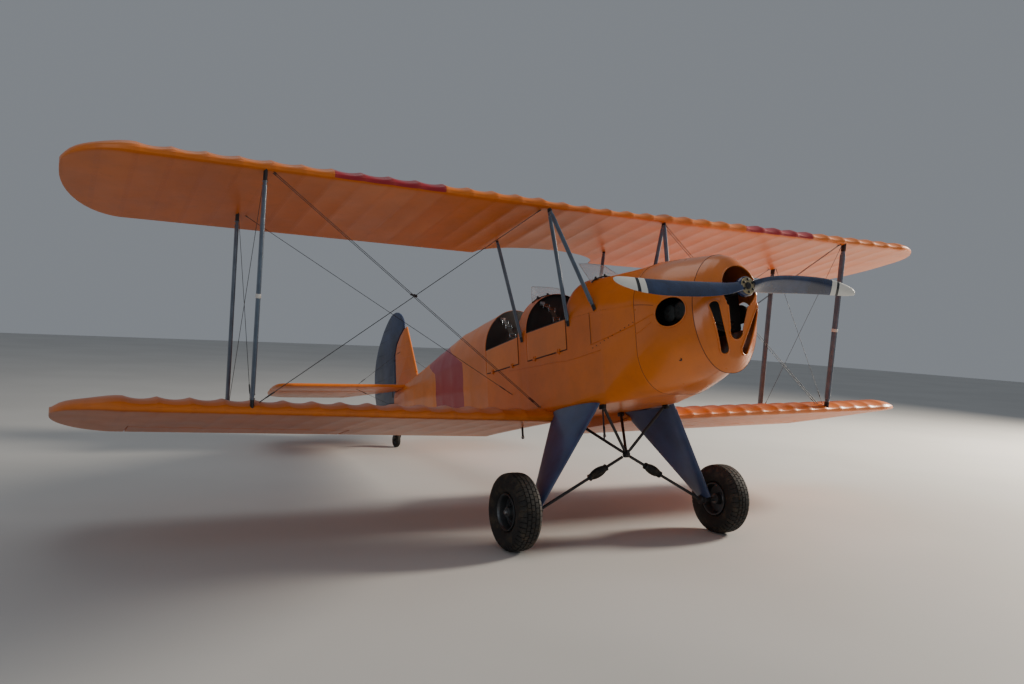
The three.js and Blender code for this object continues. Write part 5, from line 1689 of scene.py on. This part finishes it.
def strap(name, points, width=0.045, thick=0.0022):  # webbing laid through points, its width across the body
    rings = []
    for i, p in enumerate(points):
        p = Vector(p)
        ahead = Vector(points[min(i + 1, len(points) - 1)]) - Vector(points[max(i - 1, 0)])
        across = Vector((0, 1, 0))
        out = ahead.cross(across).normalized() * thick / 2
        rings.append([p + across * width / 2 + out, p - across * width / 2 + out, p - across * width / 2 - out,
            p + across * width / 2 - out])
    return paintPiece(ringSurface(name, rings), "webbing")


def curved(points, count=24):  # a smooth line through a few points
    table = [(-i, *p) for i, p in enumerate(points)]
    return [Vector(smoothBetween(table, -t)) for t in stations(0, len(points) - 1, count)]


def makeHarness(name, backX, liningX):
    parts = []
    top = seatLook["backTop"]
    for side in (-1, 1):
        y = side * 0.075
        shoulder = curved([
            (liningX + 0.006, side * 0.150, 1.672), (liningX + 0.020, side * 0.150, 1.664),
            (backX + 0.050, side * 0.142, 1.610),
            (backX + 0.095, side * 0.125, top + 0.040), (backX + 0.134, side * 0.105, top - 0.05),
            (backX + 0.140, y * 1.1, top - 0.20), (backX + 0.150, y, top - 0.33),
            (backX + 0.205, y * 0.7, top - 0.385)], 40)
        parts.append(strap("shoulderStrap", shoulder))
        parts.append(bar("steel", (liningX, side * 0.150 - 0.024, 1.664),
            (liningX + 0.006, side * 0.150 + 0.024, 1.700), 0.001))
        lap = curved([
            (backX + 0.100, side * 0.196, 1.030), (backX + 0.125, side * 0.185, 1.095),
            (backX + 0.185, side * 0.14, 1.100),
            (backX + 0.225, side * 0.06, 1.098)])
        parts.append(strap("lapStrap", lap))
        for share in (0.20, 0.31, 0.42):
            at = shoulder[round(share * (len(shoulder) - 1))]
            frameBar = [(at.x + 0.004, at.y + dy, at.z + dz) for dy,
                dz in ((-0.030, -0.016), (0.030, -0.016), (0.030, 0.016), (-0.030, 0.016))]
            parts.append(bead("chrome", frameBar, 0.0032, True, 2))
            parts.append(bead("chrome", [frameBar[0][:2] + (at.z,), frameBar[1][:2] + (at.z,)], 0.0028))
    parts.append(rod("chrome", (backX + 0.222, 0, 1.098), (backX + 0.222, 0, 1.122), [
        (0, 0.028), (0.012, 0.030), (0.016, 0.027), (0.018, 0.015), (0.024, 0.013)], 28))
    finishParts(f"harness{name.title()}", parts)


def makePanel(name, x, topZ, half, dials):
    outline = []
    foot = topZ - 0.235
    for turn in stations(0, math.pi, 24):
        outline.append((half * math.cos(turn), topZ - 0.10 + 0.10 * math.sin(turn)))
    outline += [(-half, foot), (half, foot)]
    board = ringSurface("board", [[Vector((px, y, z)) for y, z in outline] for px in (x, x + 0.012)])
    parts = [paintPiece(board, "panel")]
    for y, z, radius in dials:
        z += topZ
        parts.append(rod("dial", (x - 0.001, y, z), (x - 0.009, y, z),
            [(0, radius), (0.004, radius), (0.005, radius * 0.86), (0.0055, radius * 0.84)], 32))
        ring = [(x - 0.009, y + radius * 0.93 * math.cos(t), z + radius * 0.93 * math.sin(t)) for t in turns(32)]
        parts.append(bead("darkSteel", ring, radius * 0.07, True, 2))
        needle = bar("white", (x - 0.0078, y - 0.0012, z - radius * 0.2),
            (x - 0.0068, y + 0.0012, z + radius * 0.66), 0.0003)
        needle.data.transform(Matrix.Translation((0, y, z)) @ Matrix.Rotation(0.7 + y * 9, 4,
            "X") @ Matrix.Translation((0, -y, -z)))
        parts.append(needle)
        for turn in turns(8):
            py, pz = y + radius * 0.72 * math.cos(turn), z + radius * 0.72 * math.sin(turn)
            parts.append(bar("white", (x - 0.0072, py - 0.0013, pz - 0.0013), (x - 0.0064, py + 0.0013, pz + 0.0013),
                0))
    for y in (-0.05, 0.0, 0.05):
        parts.append(rod("steel", (x - 0.001, y, foot + 0.022), (x - 0.022, y, foot + 0.028),
            [(0, 0.005), (0.006, 0.005), (0.007, 0.0025), (0.022, 0.0035)], 12))
    finishParts(f"panel{name.title()}", parts)


def makeStick(name, x):
    parts = [bead("darkSteel", curved([(x + 0.03, 0, 0.765), (x + 0.02, 0, 0.90), (x - 0.02, 0, 1.06),
        (x - 0.03, 0, 1.17)], 16), 0.011, False, 3)]
    parts.append(rod("coaming", (x - 0.026, 0, 1.16), (x - 0.040, 0, 1.29), [
        (0, 0.013), (0.004, 0.018), (0.03, 0.016), (0.06, 0.019), (0.09, 0.016), (0.118, 0.018), (0.13, 0.012)], 20))
    parts.append(rod("coaming", (x + 0.03, 0, 0.742), (x + 0.03, 0, 0.79), [
        (0, 0.05), (0.01, 0.046), (0.016, 0.034), (0.026, 0.032), (0.03, 0.022), (0.048, 0.016)], 24))
    finishParts(f"stick{name.title()}", parts)


dialRow = ((-0.135, -0.125, 0.034), (-0.045, -0.095, 0.040), (0.055, -0.095, 0.040), (0.140, -0.130, 0.032))
for name, (backX, liningX) in seats.items():
    makeSeat(name, backX)
    makeHarness(name, backX, liningX)
makePanel("front", -0.085, 1.705, 0.235, dialRow)
makePanel("rear", -0.850, 1.735, 0.235, dialRow)
makeStick("front", -0.36)
makeStick("rear", -1.12)
print("cockpits made")


# tail: outlines in x and y, or x and z, drawn in straight runs through these corners
tail = {
    "plane": 1.400, "thick": 0.034, "hinge": -4.560, "rudderHinge": -4.625, "tip": 1.565, "finThick": 0.028,
    "stabiliser": ((-4.534, 1.550), (-4.400, 1.5645), (-4.230, 1.5640), (-4.165, 1.548), (-4.122, 1.495),
    (-4.102, 1.420)),
    "elevator": ((-4.562, 1.550), (-4.890, 1.506), (-5.020, 1.470), (-5.120, 1.415), (-5.190, 1.335), (-5.232, 1.265),
                 (-5.248, 1.190), (-5.250, 0.470)),
    "rudder": (
        (0.0, 1.132), (0.0, 1.838), (0.030, 1.866), (0.092, 1.977), (0.212, 2.064), (0.350, 2.126), (0.340, 2.180),
        (0.318, 2.232), (0.275, 2.285), (0.225, 2.325), (0.160, 2.356), (0.090, 2.372), (0.015, 2.373),
        (-0.060, 2.362),
        (-0.155, 2.324), (-0.250, 2.272), (-0.345, 2.211), (-0.430, 2.140), (-0.522, 2.060), (-0.600, 1.970),
        (-0.658, 1.882), (-0.700, 1.790), (-0.729, 1.697), (-0.742, 1.600), (-0.746, 1.500), (-0.735, 1.400),
        (-0.706, 1.310), (-0.660, 1.230), (-0.580, 1.163), (-0.480, 1.120), (-0.345, 1.096), (-0.200, 1.082),
        (-0.030, 1.088)),
    "fin": ((-3.860, 1.440), (-3.950, 1.545), (-4.212, 2.125), (-4.262, 2.112), (-4.400, 2.050), (-4.520, 1.960),
            (-4.588, 1.850), (-4.588, 1.4185)),
    "lugs": (1.500, 1.770), "sternLug": 1.190,
}


def flatFrame(name, outline, half, edge, toPoint, cuts=()):
    # cloth over a thin frame: two faces that fall a little towards a rounded edge
    startModelling()
    ring = evenly(list(outline), 0.02)
    area = sum(a[0] * b[1] - b[0] * a[1] for a, b in zip(ring, ring[1:] + ring[:1]))
    if area < 0:
        ring.reverse()
    inner = []
    for i, (a, b) in enumerate(ring):
        (a0, b0), (a1, b1) = ring[i - 1], ring[(i + 1) % len(ring)]
        along = Vector((a1 - a0, b1 - b0)).normalized()
        inner.append((Vector((-along.y, along.x)), Vector((a, b))))
    rings = []
    for turn in stations(-math.pi / 2, math.pi / 2, 8):
        drawn = edge * (1 - math.cos(turn))
        rings.append([toPoint(*(p + way * drawn), half * math.sin(turn)) for way, p in inner])
    piece = ringSurface(name, rings)
    if cuts:
        cutAway(piece, *cuts)
    return piece


def ribTapes(places, half, toPoint, width=0.016):  # the sewn tapes over the ribs, as low ridges on both faces
    tapes = []
    for (a0, b0), (a1, b1) in places:
        run = Vector((a1 - a0, b1 - b0))
        across = Vector((-run.y, run.x)).normalized() * width / 2
        for face in (-1, 1):
            rings = []
            for share in stations(0, 1, 12):
                p = Vector((a0, b0)) + run * share
                lift = half + 0.0012 * math.sin(math.pi * share) ** 0.3 if 0 < share < 1 else half - 0.001
                low = half - 0.003
                rings.append([
                    toPoint(*(p + across), face * low), toPoint(*(p + across * 0.7), face * lift),
                    toPoint(*(p - across * 0.7), face * lift), toPoint(*(p - across), face * low)])
            tapes.append(ringSurface("tape", rings))
    return tapes


def flatPoint(x, y, off):
    return Vector((x, y, tail["plane"] + off))


def uprightPoint(x, z, off):
    return Vector((x, off, z))


def makeTailPlane():
    half = tail["thick"] / 2
    outline = [*tail["stabiliser"], (-4.102, 0.0), *((x, -y) for x, y in tail["stabiliser"][::-1])]
    panel = flatFrame("panel", outline, half, 0.012, flatPoint)
    ribs = [((-4.128, side * y), (-4.516, side * y)) for side in (-1, 1) for y in (0.28, 0.52, 0.76, 1.00, 1.24,
        1.46)]
    parts = [panel] + ribTapes(ribs, half, flatPoint)
    for part in parts:
        paintPiece(part, "tail")
    for side in (-1, 1):
        y = side * 0.036
        bearing = bar("darkSteel", (tail["hinge"] + 0.004, y - 0.005, tail["plane"] - 0.013),
            (-4.52, y + 0.005, tail["plane"] + 0.013), 0.001)
        ring = spun("bearingRing", [(-0.005, 0.0147), (0.005, 0.0147), (0.005, 0.0195), (-0.005, 0.0195)], (0, y, 0),
            28)
        ring.data.transform(Matrix.Translation((tail["hinge"], 0, tail["plane"])))
        cutAway(bearing, rod(None, (tail["hinge"], y - 0.02, tail["plane"]),
            (tail["hinge"], y + 0.02, tail["plane"]), [(0, 0.0147), (0.04, 0.0147)], 28))
        parts += [bearing, paintPiece(ring, "darkSteel")]
    finishParts("tailPlane", parts, "stabiliser")


def makeElevator():
    half = tail["thick"] / 2 - 0.003
    parts = []
    for side in (-1, 1):
        outline = [(x, side * y) for x, y in tail["elevator"]] + [(-4.630, side * 0.092), (-4.562, side * 0.060)]
        parts.append(flatFrame("panel", outline, half, 0.010, flatPoint))
        reach = {0.28: -4.92, 0.52: -5.235, 0.76: -5.235, 1.00: -5.235, 1.24: -5.215, 1.44: -5.03}
        parts += ribTapes([((-4.585, side * y), (x, side * y)) for y, x in reach.items()], half, flatPoint)
    for part in parts:
        paintPiece(part, "tail")
    ends = [(tail["hinge"], side * (tail["tip"] - 0.020), tail["plane"]) for side in (-1, 1)]
    length = 2 * (tail["tip"] - 0.020)
    parts.append(rod("tail", ends[0], ends[1], [(0, 0.012), (0.002, 0.0138), (length - 0.002, 0.0138),
        (length, 0.012)], 24))
    for y in (-0.070, 0.070):
        parts.append(bar("darkSteel", (tail["hinge"] - 0.006, y - 0.004, tail["plane"] - 0.09),
            (tail["hinge"] + 0.006, y + 0.004, tail["plane"]), 0.001))
    finishParts("elevatorPanels", parts, "elevator", body="elevator")


def lugCutter(z):  # the room that a hinge lug needs in the rudder
    x = tail["rudderHinge"]
    return bar(None, (x - 0.019, -0.06, z - 0.013), (x + 0.06, 0.06, z + 0.013), 0)


def makeFin():
    half = tail["finThick"] / 2
    fin = flatFrame("fin", tail["fin"], half, 0.008, uprightPoint)
    deck = ringSurface("deckCut", [[hullPoint(x, u, 0.0005) for u in stations(-4, 4,
        64)[:-1]] for x in stations(-3.6, -4.59, 12)])
    cutAway(fin, deck)
    ribs = [((-3.975, 1.60), (-4.575, 1.60)), ((-4.048, 1.76), (-4.575, 1.76)), ((-4.118, 1.92), (-4.535, 1.92))]
    parts = [fin] + ribTapes(ribs, half, uprightPoint)
    for part in parts:
        paintPiece(part, "tail")
    edge = [(-3.950, 0, 1.545), (-4.208, 0, 2.118), (-4.262, 0, 2.104), (-4.400, 0, 2.043), (-4.520, 0, 1.953)]
    parts.append(bead("tail", curved(edge[:2], 4) + edge[2:], half * 0.94, False, 4))
    x = tail["rudderHinge"]
    for z in tail["lugs"]:
        parts.append(bar("darkSteel", (x + 0.002, -0.010, z - 0.004), (x + 0.05, 0.010, z + 0.004), 0.001))
        parts.append(rod("darkSteel", (x, 0, z - 0.004), (x, 0, z + 0.004), [(0, 0.011), (0.008, 0.011)], 24))
    finishParts("finPanel", parts, "fin")


def makeRudder():
    half = tail["finThick"] / 2
    hinge = tail["rudderHinge"]
    outline = [(hinge + a, z) for a, z in tail["rudder"]]
    rooms = [lugCutter(z) for z in (*tail["lugs"], tail["sternLug"])]
    rudder = flatFrame("rudder", outline, half, 0.010, uprightPoint, rooms)
    reach = {1.27: -0.655, 1.43: -0.722, 1.59: -0.728, 1.75: -0.70, 1.91: -0.625, 2.07: -0.50, 2.20: -0.34}
    ribs = [((hinge - 0.02 if z < 1.85 else hinge + 0.03, z), (hinge + a, z)) for z, a in reach.items()]
    parts = [rudder] + ribTapes(ribs, half, uprightPoint)
    for part in parts:
        paintPiece(part, "rudder")
    gaps = sorted((*tail["lugs"], tail["sternLug"]))
    starts, ends = [1.134] + [z + 0.013 for z in gaps], [z - 0.013 for z in gaps] + [1.836]
    for low, high in zip(starts, ends):
        parts.append(rod("rudder", (hinge, 0, low), (hinge, 0, high),
            [(0, 0.012), (0.002, 0.0148), (high - low - 0.002, 0.0148), (high - low, 0.012)], 20))
    for side in (-1, 1):
        parts.append(bar("darkSteel", (hinge - 0.026, 0, 1.248), (hinge - 0.010, side * 0.085, 1.254), 0.001))
    finishParts("rudderPanel", parts, "rudder", body="rudder")


makeTailPlane()
makeElevator()
makeFin()
makeRudder()
print("tail surfaces made")


# tail wheel, upright on the ground: x and z from its axle
tailWheel = {"x": -4.665, "z": 0.8025, "half": 0.029, "pivot": 0.045}


def makeTailWheel():
    upright = Matrix.Translation((tailWheel["x"], 0, tailWheel["z"])) @ Matrix.Rotation(parkAngle, 4, "Y")
    half, pivot = tailWheel["half"], tailWheel["pivot"]
    tyreRing = spun("tailTyre", [
        (-0.0215, 0.052), (-0.027, 0.056), (-0.029, 0.064), (-0.027, 0.072), (-0.021, 0.0795), (-0.013, 0.0838),
        (-0.0115, 0.0825),
        (-0.0095, 0.0825), (-0.008, 0.0848), (0.008, 0.0848), (0.0095, 0.0825), (0.0115, 0.0825), (0.013, 0.0838),
        (0.021, 0.0795),
        (0.027, 0.072), (0.029, 0.064), (0.027, 0.056), (0.0215, 0.052)], (0, 0, 0), 56)
    disc = spun("tailDisc", [
        (-0.0215, 0.0525), (-0.024, 0.049), (-0.015, 0.045), (-0.009, 0.030), (-0.013, 0.020), (-0.028, 0.017),
        (-0.028, 0.0092),
        (0.028, 0.0092), (0.028, 0.017), (0.013, 0.020), (0.009, 0.030), (0.015, 0.045), (0.024, 0.049),
        (0.0215, 0.0525)], (0, 0, 0), 40)
    wheel = joinPieces("tailWheel", [paintPiece(tyreRing, "tyre"), paintPiece(disc, "rim")])
    wheel.data.transform(upright)
    finishPiece(wheel, "tail_wheel", "tail_wheel", 35)

    parts = []
    for side in (-1, 1):
        outline = [(-0.016, -0.012), (-0.012, -0.016), (0.012, -0.016), (0.016, -0.012), (pivot + 0.022, 0.102),
            (pivot - 0.022, 0.112), (-0.010, 0.060)]
        low, high = sorted((side * (half + 0.006), side * (half + 0.012)))
        arm = ringSurface("arm", [[Vector((x, y, z)) for x, z in outline] for y in (low, high)])
        soften(arm, 0.0014, 40)
        parts.append(paintPiece(arm, "darkSteel"))
        parts.append(rod("darkSteel", (0, side * (half + 0.011), 0), (0, side * (half + 0.016), 0),
            [(0, 0.013), (0.005, 0.012)], 6))
    parts.append(bar("darkSteel", (pivot - 0.024, -half - 0.012, 0.100), (pivot + 0.024, half + 0.012, 0.112), 0.002))
    parts.append(rod("darkSteel", (pivot, 0, 0.108), (pivot, 0, 0.1298), [(0, 0.0135), (0.0218, 0.0135)], 24))
    parts.append(rod("darkSteel", (0, -half - 0.014, 0), (0, half + 0.014, 0),
        [(0, 0.0083), (2 * half + 0.028, 0.0083)], 20))
    fork = joinPieces("tailFork", parts)
    fork.data.transform(upright)
    finishPiece(fork, "tail_fork", "tail_fork")

    path = curved([(pivot, 0.141), (pivot + 0.110, 0.178), (pivot + 0.230, 0.250), (pivot + 0.370, 0.344)], 24)
    parts = []
    for drop, start, wide in ((0.0, 0, 0.022), (0.0072, 5, 0.021), (0.0144, 10, 0.020)):
        rings = []
        for n, p in enumerate(path[start:]):
            ahead = (path[min(start + n + 1, len(path) - 1)] - path[max(start + n - 1, 0)]).normalized()
            up = Vector((-ahead.y, ahead.x))
            over = p + up * (0.0055 - drop)
            under = p + up * (-0.0005 - drop)
            corners = ((over, -wide), (over, wide), (under, wide), (under, -wide))
            rings.append([Vector((edge.x, y, edge.y)) for edge, y in corners])
        parts.append(paintPiece(ringSurface("leaf", rings), "darkSteel"))
    parts.append(rod("darkSteel", (pivot, 0, 0.1306), (pivot, 0, 0.148),
        [(0, 0.020), (0.002, 0.022), (0.013, 0.022), (0.0174, 0.016)], 24))
    parts.append(bar("darkSteel", (pivot + 0.280, -0.029, 0.288), (pivot + 0.292, 0.029, 0.345), 0.002))
    parts.append(bar("darkSteel", (pivot + 0.300, -0.029, 0.300), (pivot + 0.374, 0.029, 0.378), 0.003))
    for x, z in ((pivot + 0.16, 0.213), (pivot + 0.25, 0.268)):
        parts.append(bar("darkSteel", (x - 0.008, -0.025, z - 0.026), (x + 0.008, 0.025, z + 0.008), 0.002))
    spring = joinPieces("tailSpring", parts)
    spring.data.transform(upright)
    finishPiece(spring, "tail_spring")


makeTailWheel()
print("tail wheel made")


# small fittings: a drain tube under the belly, footstep brackets under the lower wings' roots, strut clips
fittings = {
    "drain": ((0.165, -0.25, 0.722), (0.163, -0.25, 0.560), (0.158, -0.25, 0.480)), "drainRadius": 0.006,
    "bracket": (-0.778, 0.400, 0.640, 0.560), "clip": 0.48,
}


def makeFittings():
    parts = [bead("darkSteel", fittings["drain"], fittings["drainRadius"], False, 3)]
    foot = fittings["drain"][-1]
    parts.append(rod("darkSteel", (foot[0], foot[1], foot[2] - 0.008), foot, [
        (0, 0.0115), (0.004, 0.010), (0.008, 0.0062)], 16))
    for _, side in sides:
        x, y, top, low = fittings["bracket"]
        parts.append(bar("darkSteel", (x - 0.010, side * y - 0.006, low), (x + 0.010, side * y + 0.006, top + 0.012),
            0.003))
        parts.append(rod("steel", (x, side * y - 0.009, low), (x, side * y + 0.009, low), [
            (0, 0.011), (0.002, 0.013), (0.016, 0.013), (0.018, 0.011)], 18))
        footPoint, topPoint = strutEnds(side, *struts["places"][0][1:])
        at = footPoint + (topPoint - footPoint) * fittings["clip"]
        along = (topPoint - footPoint).normalized()
        long, thick = struts["long"], struts["thick"]
        parts.append(rod("white", at - along * 0.014, at + along * 0.014, [
            (0, long * 0.50), (0.003, long * 0.54), (0.025, long * 0.54), (0.028, long * 0.50)], 24,
            thick / long * 1.1))
    finishParts("smallFittings", parts)


makeFittings()
print("fittings made")
